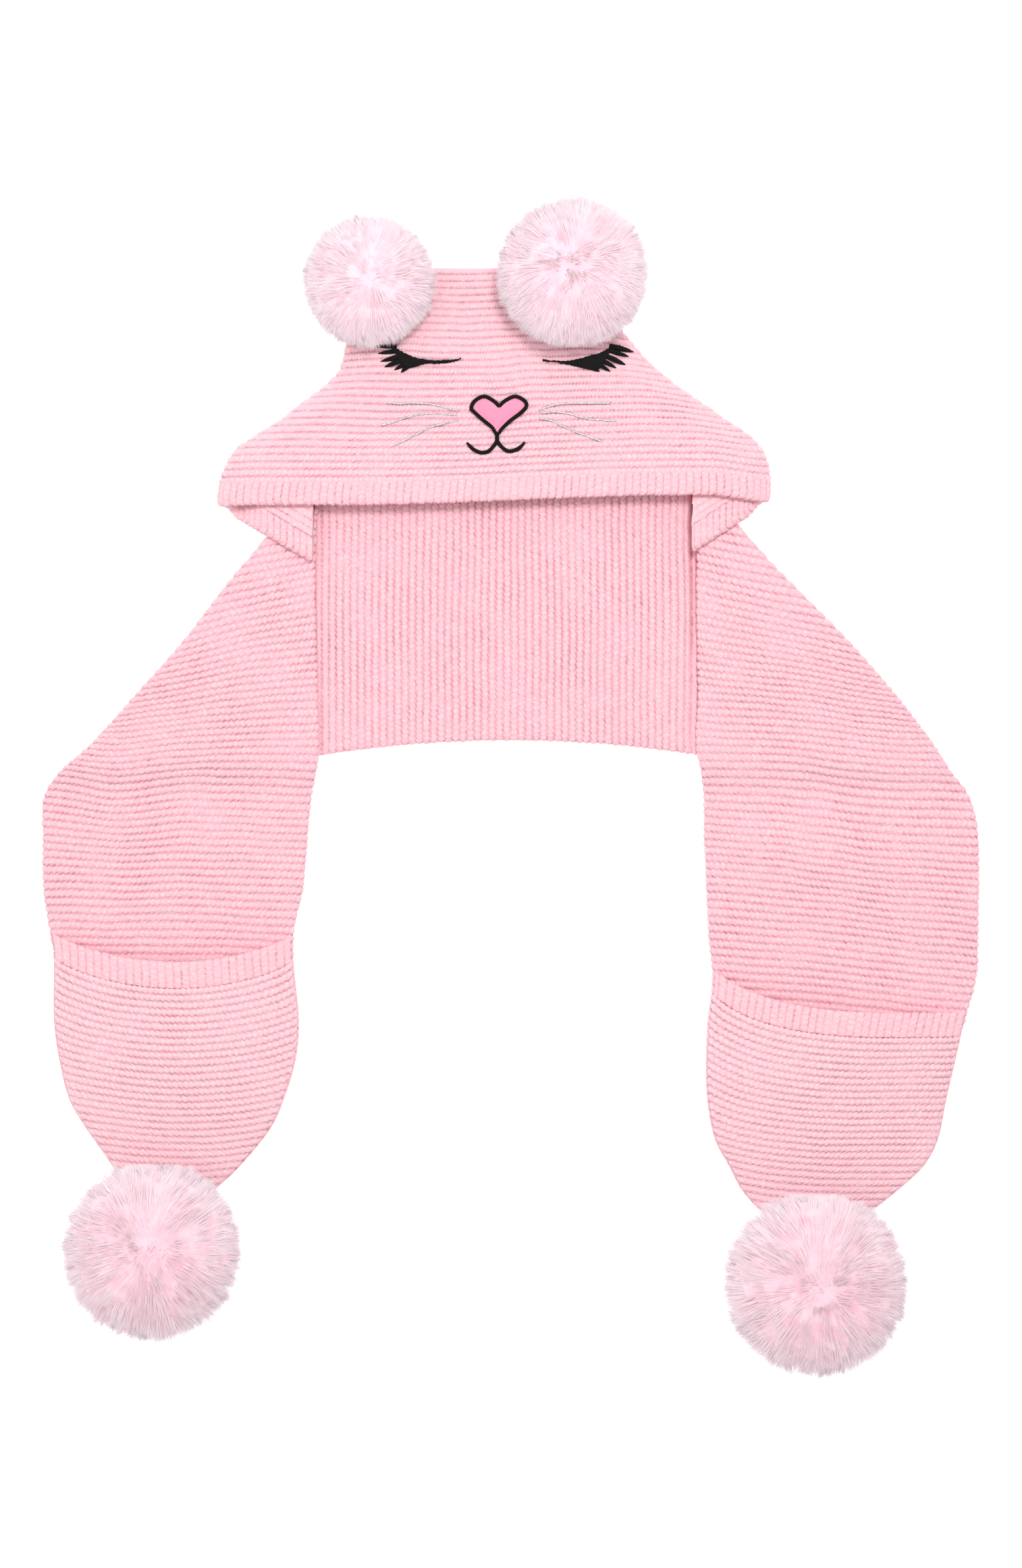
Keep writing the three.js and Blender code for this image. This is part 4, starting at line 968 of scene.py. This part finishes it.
def make_nose_outline():
    """A cord round the nose, laid level, and the mouth's two cords below it."""
    line = heart_line(0, 380)
    closed = np.vstack([line, line[:1]])
    radii = np.full(len(closed), CORD)
    outline = cord_mesh("nose_cord", closed, radii, CORD_TURN, 8, CORD_TWIST, CORD_FLAT)
    place = np.empty(len(outline.data.vertices) * 3)
    outline.data.vertices.foreach_get("co", place)
    place = place.reshape(-1, 3)
    middle = (place[:, 2].min() + place[:, 2].max()) / 2
    place[:, 2] = (place[:, 2] - middle) * 0.8 + (NOSE_REST + 0.8) * MM
    outline.data.vertices.foreach_set("co", place.astype(np.float32).ravel())
    pieces = [outline]
    for number, route in enumerate(MOUTH):
        path = face_route(route, 110)
        radii = np.interp(np.linspace(0, 1, 110), [0, 0.85, 1], [CORD, CORD, 0.7])
        pieces.append(cord_mesh(f"mouth_{number}", path, radii, CORD_TURN, 8, CORD_TWIST, CORD_FLAT))
    return joined("nose_and_mouth_line", pieces)


def make_whisker(side, number):
    route = face_route(WHISKERS[side][number], 100)
    radii = WHISKER + 0.12 * wander(route[:, 0] + 900, route[:, 1] + 900, 2.2, 60 + number)
    return cord_mesh(f"whisker_thread_{side}_{number + 1}", route, radii, 1.5, sides=6, depth=0.22)


# Materials
def srgb(code):
    """A hex code of sRGB as linear colour."""
    channels = [int(code[k:k + 2], 16) / 255 for k in (1, 3, 5)]
    return [*(c / 12.92 if c <= 0.04045 else ((c + 0.055) / 1.055) ** 2.4 for c in channels), 1.0]


def add_node(tree, kind, settings=None, *values, **links):
    """Adds a node with its settings. Its inputs, in order, by name, or by number as i6, are values,
    sockets, or nodes, which stand for their first output."""
    node = tree.nodes.new("ShaderNode" + kind)
    for name, value in (settings or {}).items():
        setattr(node, name, value)
    sockets = list(zip(node.inputs, values))
    for name, value in links.items():
        key = int(name[1:]) if name[1:].isdigit() else name.replace("_", " ")
        sockets.append((node.inputs[key], value))
    for socket, value in sockets:
        if isinstance(value, bpy.types.Node):
            value = value.outputs[0]
        if isinstance(value, bpy.types.NodeSocket):
            tree.links.new(value, socket)
        else:
            socket.default_value = value
    return node


def new_material(name):
    """A material with its node tree and its shader."""
    material = bpy.data.materials.new(name)
    material.use_nodes = True
    tree = material.node_tree
    tree.nodes.clear()
    shader = add_node(tree, "BsdfPrincipled")
    add_node(tree, "OutputMaterial", None, shader)
    return material, tree, shader


def set_shader(shader, **values):
    """Sets numbers and colours that are the same all over a surface on the shader itself."""
    for name, value in values.items():
        shader.inputs[name.replace("_", " ")].default_value = value


# Settings of the nodes that work out a share from a pattern and mix two colours by it
ABSOLUTE, ADD, FLOOR, FRACT, MULTIPLY, MULTIPLY_ADD = (
    {"operation": word} for word in ("ABSOLUTE", "ADD", "FLOOR", "FRACT", "MULTIPLY", "MULTIPLY_ADD")
)
NORMALIZE, PINGPONG, POWER, ROUND, SUBTRACT = (
    {"operation": word} for word in ("NORMALIZE", "PINGPONG", "POWER", "ROUND", "SUBTRACT")
)
CLAMPED = {"use_clamp": True}
COLOUR = {"data_type": "RGBA"}

# Sizes of the patterns in yarn and fur: real pile and filaments are 0.1 mm, so they are drawn coarser
FUZZ = 1.0
NUB = 1.923
BLOTCH = 3.846
LOOSER_AREA = 23.81
TUFT = 13.333
FILAMENT = 0.7143
LOCKS_TO_RADIUS = 26.0


def chenille(name, crest, middle, groove, painted_hole_shade, line=4.0):
    """Acrylic chenille yarn, knitted: brushed, matt and nubbly, mottled pale over the crests. The narrow
    grooves and the partings between the loops are painted in a deeper pink shade, and a dark dot of painted
    shade marks each hole where a stitch goes down."""
    material, tree, shader = new_material(name)
    laid = add_node(tree, "UVMap", {"uv_map": "knitting"})
    axes = add_node(tree, "SeparateXYZ", None, laid)
    stitch, ridge = axes.outputs[0], axes.outputs[1]
    place = add_node(tree, "TexCoord").outputs["Object"]
    fibre, blotch, area = (
        add_node(tree, "TexNoise", None, Vector=place, Scale=1 / (size * MM), Detail=detail)
        for size, detail in ((FUZZ, 3.0), (BLOTCH, 2.0), (LOOSER_AREA, 1.0))
    )
    nubs = add_node(tree, "TexVoronoi", None, Vector=place, Scale=1 / (NUB * MM))
    fuzz = add_node(tree, "Math", SUBTRACT, fibre, 0.5)

    shaken = add_node(tree, "Math", ADD, ridge, add_node(tree, "Math", MULTIPLY, fuzz, 0.5))
    across = add_node(tree, "Math", FRACT, shaken)
    centred = add_node(tree, "Math", SUBTRACT, add_node(tree, "Math", MULTIPLY, across, 2.0), 1.0)
    off = add_node(tree, "Math", ABSOLUTE, centred)
    row = add_node(tree, "Math", ROUND, ridge)
    hooked = add_node(tree, "Math", ADD, stitch, add_node(tree, "Math", MULTIPLY, row, 0.5))
    cell = add_node(tree, "CombineXYZ", None, add_node(tree, "Math", ROUND, hooked), row)
    chance = add_node(tree, "TexWhiteNoise", None, cell)
    near = add_node(tree, "Math", PINGPONG, add_node(tree, "Math", ADD, hooked, 0.5), 0.5)
    near = add_node(tree, "Math", MULTIPLY, near, 2.0)
    pull = add_node(tree, "Math", MULTIPLY_ADD | CLAMPED, area, 2.4, -0.65)
    # Painted shade along each narrow groove, broken from stitch to stitch and patchy from place to place
    painted_groove_shade = add_node(tree, "Math", POWER, off, line)
    drawn = add_node(tree, "Math", MULTIPLY_ADD, pull, 0.5, 0.5)
    broken = add_node(tree, "Math", MULTIPLY_ADD, chance, 0.6, 0.55)
    painted_groove_shade = add_node(tree, "Math", MULTIPLY, add_node(tree, "Math", MULTIPLY, painted_groove_shade, drawn), broken)
    # Painted shade: a dark dot in the groove where each stitch goes down
    deep, narrow = add_node(tree, "Math", POWER, off, 7.0), add_node(tree, "Math", POWER, near, 2.5)
    dip = add_node(tree, "Math", MULTIPLY, deep, narrow)
    for share, most, least in ((chance, 0.7, 0.3), (pull, 0.65, 0.35)):
        faded = add_node(tree, "Math", MULTIPLY_ADD, share, most, least)
        dip = add_node(tree, "Math", MULTIPLY, dip, faded)
    # Painted shade in the partings between the loops of each stitch, patchy
    half_row = add_node(tree, "Math", MULTIPLY, add_node(tree, "Math", FLOOR, ridge), 0.5)
    leaning = add_node(tree, "Math", MULTIPLY, add_node(tree, "Math", ADD, across, fuzz), 0.35)
    loop = add_node(tree, "Math", ADD, stitch, half_row)
    loop = add_node(tree, "Math", ADD, loop, leaning)
    painted_parting_shade = add_node(tree, "Math", MULTIPLY, add_node(tree, "Math", PINGPONG, loop, 0.5), 2.0)
    painted_parting_shade = add_node(tree, "Math", POWER, painted_parting_shade, 3.0)
    patchy = add_node(tree, "Math", MULTIPLY, blotch, 0.55)
    painted_parting_shade = add_node(tree, "Math", MULTIPLY, painted_parting_shade, patchy)

    light = add_node(tree, "Math", MULTIPLY_ADD, blotch, 1.6, -0.3)
    light = add_node(tree, "Math", SUBTRACT, light, add_node(tree, "Math", MULTIPLY, nubs, 0.5))
    spread = add_node(tree, "Math", MULTIPLY, fuzz, 2.2)
    light = add_node(tree, "Math", ADD | CLAMPED, light, spread)
    shade = add_node(tree, "Mix", COLOUR, light, i6=srgb(middle), i7=srgb(crest)).outputs[2]
    # The painted shade of the partings, the grooves and the stitch holes goes over the yarn's mottled tone
    for share, colour in ((painted_parting_shade, groove), (painted_groove_shade, groove), (dip, painted_hole_shade)):
        shade = add_node(tree, "Mix", COLOUR, share, i6=shade, i7=srgb(colour)).outputs[2]
    tree.links.new(shade, shader.inputs["Base Color"])
    relief = add_node(tree, "Math", SUBTRACT, fibre, add_node(tree, "Math", MULTIPLY, nubs, 0.9))
    relief = add_node(tree, "Math", SUBTRACT, relief, add_node(tree, "Math", MULTIPLY, dip, 0.7))
    bump = add_node(tree, "Bump", None, Strength=0.6, Distance=0.0009, Height=relief)
    tree.links.new(bump.outputs[0], shader.inputs["Normal"])
    set_shader(
        shader, Roughness=0.95, Specular_IOR_Level=0.2,
        Sheen_Weight=0.35, Sheen_Roughness=0.5, Sheen_Tint=srgb("#ffe9ee"),
    )
    return material


def faux_fur(name, root, middle, tip, painted_glow):
    """Dense acrylic faux fur, brushed: pink at the roots, nearly white at the tips, silky and
    combed away from the top. Light scatters deep in it, so it is lit mostly as a smooth ball, and it is
    painted as glowing faintly in its own colour, for that scattered light."""
    material, tree, shader = new_material(name)
    fur_tone_and_painted_light = add_node(tree, "Attribute", {"attribute_name": "tip"}).outputs["Fac"]
    lie = add_node(tree, "Attribute", {"attribute_name": "lie"}).outputs["Vector"]
    combed = add_node(tree, "Attribute", {"attribute_name": "combed"}).outputs["Vector"]
    place = add_node(tree, "TexCoord").outputs["Object"]
    tuft = add_node(tree, "TexNoise", None, Vector=place, Scale=1 / (TUFT * MM), Detail=2.0)
    lock = add_node(tree, "TexNoise", None, Vector=combed, Scale=LOCKS_TO_RADIUS, Detail=3.0)
    # The tone attribute carries the painted light of the sides and the painted shade between wisps, besides
    # the fur's own tones
    shade = add_node(tree, "Math", ADD, fur_tone_and_painted_light, add_node(tree, "Math", MULTIPLY_ADD, tuft, 0.5, -0.25))
    streaky = add_node(tree, "Math", MULTIPLY_ADD, lock, 0.6, -0.3)
    shade = add_node(tree, "Math", ADD | CLAMPED, shade, streaky)
    ramp = add_node(tree, "ValToRGB", None, shade)
    stops = ramp.color_ramp.elements
    stops[0].color = srgb(root)
    stops[1].color = srgb(tip)
    stops.new(0.5).color = srgb(middle)
    tree.links.new(ramp.outputs[0], shader.inputs["Base Color"])
    # Painted glow in the fur's own colour
    tree.links.new(ramp.outputs[0], shader.inputs["Emission Color"])
    fine = add_node(tree, "Bump", None, Strength=0.5, Distance=0.0012, Height=lock)
    both = add_node(tree, "VectorMath", MULTIPLY_ADD, lie, (3.0, 3.0, 3.0), fine)
    soft = add_node(tree, "VectorMath", NORMALIZE, both)
    tree.links.new(soft.outputs[0], shader.inputs["Normal"])
    set_shader(
        shader, Emission_Strength=painted_glow, Roughness=0.7, Specular_IOR_Level=0.2,
        Sheen_Weight=0.5, Sheen_Roughness=0.4, Sheen_Tint=srgb("#fff4f7"),
    )
    return material


def thread(name, colour, dark, roughness, metallic=0.0, sheen=0.2):
    """Embroidery thread: smooth twisted filament, mottled between a dark and a light tone."""
    material, tree, shader = new_material(name)
    place = add_node(tree, "TexCoord").outputs["Object"]
    grain = add_node(tree, "TexNoise", None, Vector=place, Scale=1 / (FILAMENT * MM), Detail=2.0)
    light = add_node(tree, "Math", ADD | CLAMPED, add_node(tree, "Math", MULTIPLY, grain, 2.0), -0.5)
    shade = add_node(tree, "Mix", COLOUR, light, i6=srgb(dark), i7=srgb(colour))
    tree.links.new(shade.outputs[2], shader.inputs["Base Color"])
    bump = add_node(tree, "Bump", None, Strength=0.4, Distance=0.0003, Height=grain)
    tree.links.new(bump.outputs[0], shader.inputs["Normal"])
    set_shader(
        shader, Roughness=roughness, Specular_IOR_Level=0.25, Metallic=metallic, Sheen_Weight=sheen,
    )
    return material


# Each yarn: crest and middle tones, then the painted shade of its grooves and of its stitch holes
strip_yarn = chenille("chenille_strip", "#ffdae0", "#fbc4ce", "#ed9aac", "#9c5f6e")
hood_yarn = chenille("chenille_hood", "#ffdce2", "#fbc9d2", "#ef9fb0", "#a86a78")
pocket_yarn = chenille("chenille_pocket", "#ffdee3", "#fbcad3", "#ed9dae", "#9c5f6e")
rib_yarn = chenille("chenille_rib", "#ffd8de", "#fbc6cf", "#ed9cad", "#a0606e", line=5.0)
# Fur colours from root to middle to tip, then the strength of the painted glow
ear_fur = faux_fur("ear_fur", "#dfb2be", "#e4c6cf", "#e6d6dc", 0.4)
tail_fur = faux_fur("tail_fur", "#daa6b4", "#dfbfc8", "#e3d2d8", 0.4)
black_thread = thread("black_rayon_thread", "#151213", "#040303", 0.85, sheen=0.0)
satin_thread = thread("pink_satin_thread", "#f79cbb", "#ec87aa", 0.45, sheen=0.2)
# The silver thread's mottle of near-white and grey stands for glints and shaded edges: painted highlights
# and painted shade
silver_thread = thread("silver_lurex_thread", "#fbfafa", "#8d888a", 0.35, metallic=0.5)


def dress(piece, material, slot, *nodes):
    """Gives a piece its material and its body, and hides the CAD nodes that it stands for."""
    piece.data.materials.clear()
    piece.data.materials.append(material)
    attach(piece, "root")
    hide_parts(*nodes)
    return piece


# Dressing the part; the flat areas of the knitted pieces are worked out from the outlines above
def tail_area(side, start):
    """Flat area of a tail's strip from one distance below the neck seam to its end."""
    y = -np.linspace(start, TAIL_LENGTH[side], 60)
    wide = np.abs(tail_edge(side, 1, y) - tail_edge(side, 2, y)).mean()
    return float(wide * (TAIL_LENGTH[side] - start)) * MM**2


def hood_area():
    """Flat area of the hood's front and back."""
    y = np.linspace(HOOD_BAND - HEM_DROP, HOOD_TOP, 60)
    wide = (hood_edge("right", y) - hood_edge("left", y)).mean()
    return float(2 * wide * (HOOD_HEIGHT - HOOD_BAND)) * MM**2


panel = dress(make_panel(), strip_yarn, "strip_knit", "neck_panel")
strips = {side: dress(make_tail(side), strip_yarn, "strip_knit", f"tail_{side}") for side in SIDE}
hood = dress(make_hood(), hood_yarn, "hood_knit", "hood")
hood_rib = dress(make_hood_band(), rib_yarn, "band_knit", "hood_band")
hood_area()
for side in SIDE:
    tail_area(side, 0)
    pocket = dress(make_pocket(side), pocket_yarn, "pocket_knit", f"pocket_{side}")
    pocket_rib = dress(make_pocket_band(side), rib_yarn, "band_knit", f"pocket_band_{side}")
    below = POCKET_MOUTH[side] + POCKET_BAND[side] + POCKET_SAG[side] / 2
    tail_area(side, below)
    dress(make_lash(side), black_thread, "black_thread", f"lash_{side}")
    for number in range(3):
        whisker = make_whisker(side, number)
        dress(whisker, silver_thread, "silver_thread", f"whisker_{side}_{number + 1}")
dress(make_nose(), satin_thread, "nose_satin", "nose_heart")
dress(make_nose_outline(), black_thread, "black_thread", "nose_outline")

# Pompoms: the last few millimetres put their fur where the photo shows it, as they stand high
EAR_DROP = {"left": 3.2, "right": 5.2}
TAIL_FUR_INWARD = 2.0
TAIL_FUR_UP = 5.0
TAIL_FUR_LONGER = 2.5
EAR_CENTRE = {
    "left": (-0.2536 * HOOD_WIDTH, HOOD_TOP - 0.18 * EAR_RADIUS["left"] - EAR_DROP["left"]),
    "right": (0.1105 * HOOD_WIDTH, HOOD_TOP - 0.01 * EAR_RADIUS["right"] - EAR_DROP["right"]),
}
TAIL_ACROSS = {"left": 0.606, "right": 0.44}
TAIL_BEYOND = {"left": 0.44, "right": 0.42}
for k, side in enumerate(SIDE):
    part = f"ear_pompom_{side}"
    pompom = make_pompom(f"fur_ear_{side}", EAR_CENTRE[side], EAR_RADIUS[side], part, 21 + k)
    dress(pompom, ear_fur, "ear_fur", part)
    part = f"tail_pompom_{side}"
    centre = (
        SIDE[side] * (NECK[side] + TAIL_ACROSS[side] * STRIP - TAIL_FUR_INWARD),
        -TAIL_LENGTH[side] - TAIL_BEYOND[side] * TAIL_RADIUS[side] + TAIL_FUR_UP,
    )
    radius = TAIL_RADIUS[side] + TAIL_FUR_LONGER
    dress(make_pompom(f"fur_tail_{side}", centre, radius, part, 31 + k), tail_fur, "tail_fur", part)

# Floor, light and camera
deselect()
bpy.ops.mesh.primitive_plane_add(size=8.0, location=(0, 0, -0.0005))
floor = bpy.context.object
floor.name = "floor"
# The floor is a white light table, so the object throws hardly any shadow on it
WHITE = srgb("#ffffff")
light_table, tree, shader = new_material("white_light_table")
set_shader(
    shader, Base_Color=srgb("#fdfdfd"), Roughness=0.9, Emission_Color=WHITE, Emission_Strength=0.5,
)
floor.data.materials.append(light_table)

bpy.context.scene.view_settings.view_transform = "Standard"
world = bpy.data.worlds.new("studio")
bpy.context.scene.world = world
world.use_nodes = True
sky = world.node_tree.nodes["Background"]
sky.inputs["Color"].default_value = WHITE
sky.inputs["Strength"].default_value = 0.6


def soft_light(name, place, size, watts):
    """A square softbox that faces the middle of the floor."""
    data = bpy.data.lights.new(name, "AREA")
    data.size = size
    data.energy = watts
    lamp = bpy.data.objects.new(name, data)
    lamp.location = place
    lamp.rotation_euler = (-Vector(place)).to_track_quat("-Z", "Y").to_euler()
    bpy.context.scene.collection.objects.link(lamp)


soft_light("key", (0.3, 0.85, 2.1), 0.5, 25)
soft_light("fill", (-1.2, 0.2, 2.0), 1.6, 13)

# The photo is taken from straight above, with 0.952 m of floor on the picture's long side
PHOTO_PIXEL = 0.0004
PHOTO_HEIGHT = 2380
camera_data = bpy.data.cameras.new("camera")
camera = bpy.data.objects.new("camera", camera_data)
bpy.context.scene.collection.objects.link(camera)
bpy.context.scene.camera = camera
camera_data.sensor_fit = "VERTICAL"
camera_data.sensor_height = 36.0
camera_data.lens = 120.0
camera_data.clip_end = 20.0
height = PHOTO_HEIGHT * PHOTO_PIXEL * camera_data.lens / camera_data.sensor_height
camera.location = (0, 0, height)

bpy.context.view_layer.update()
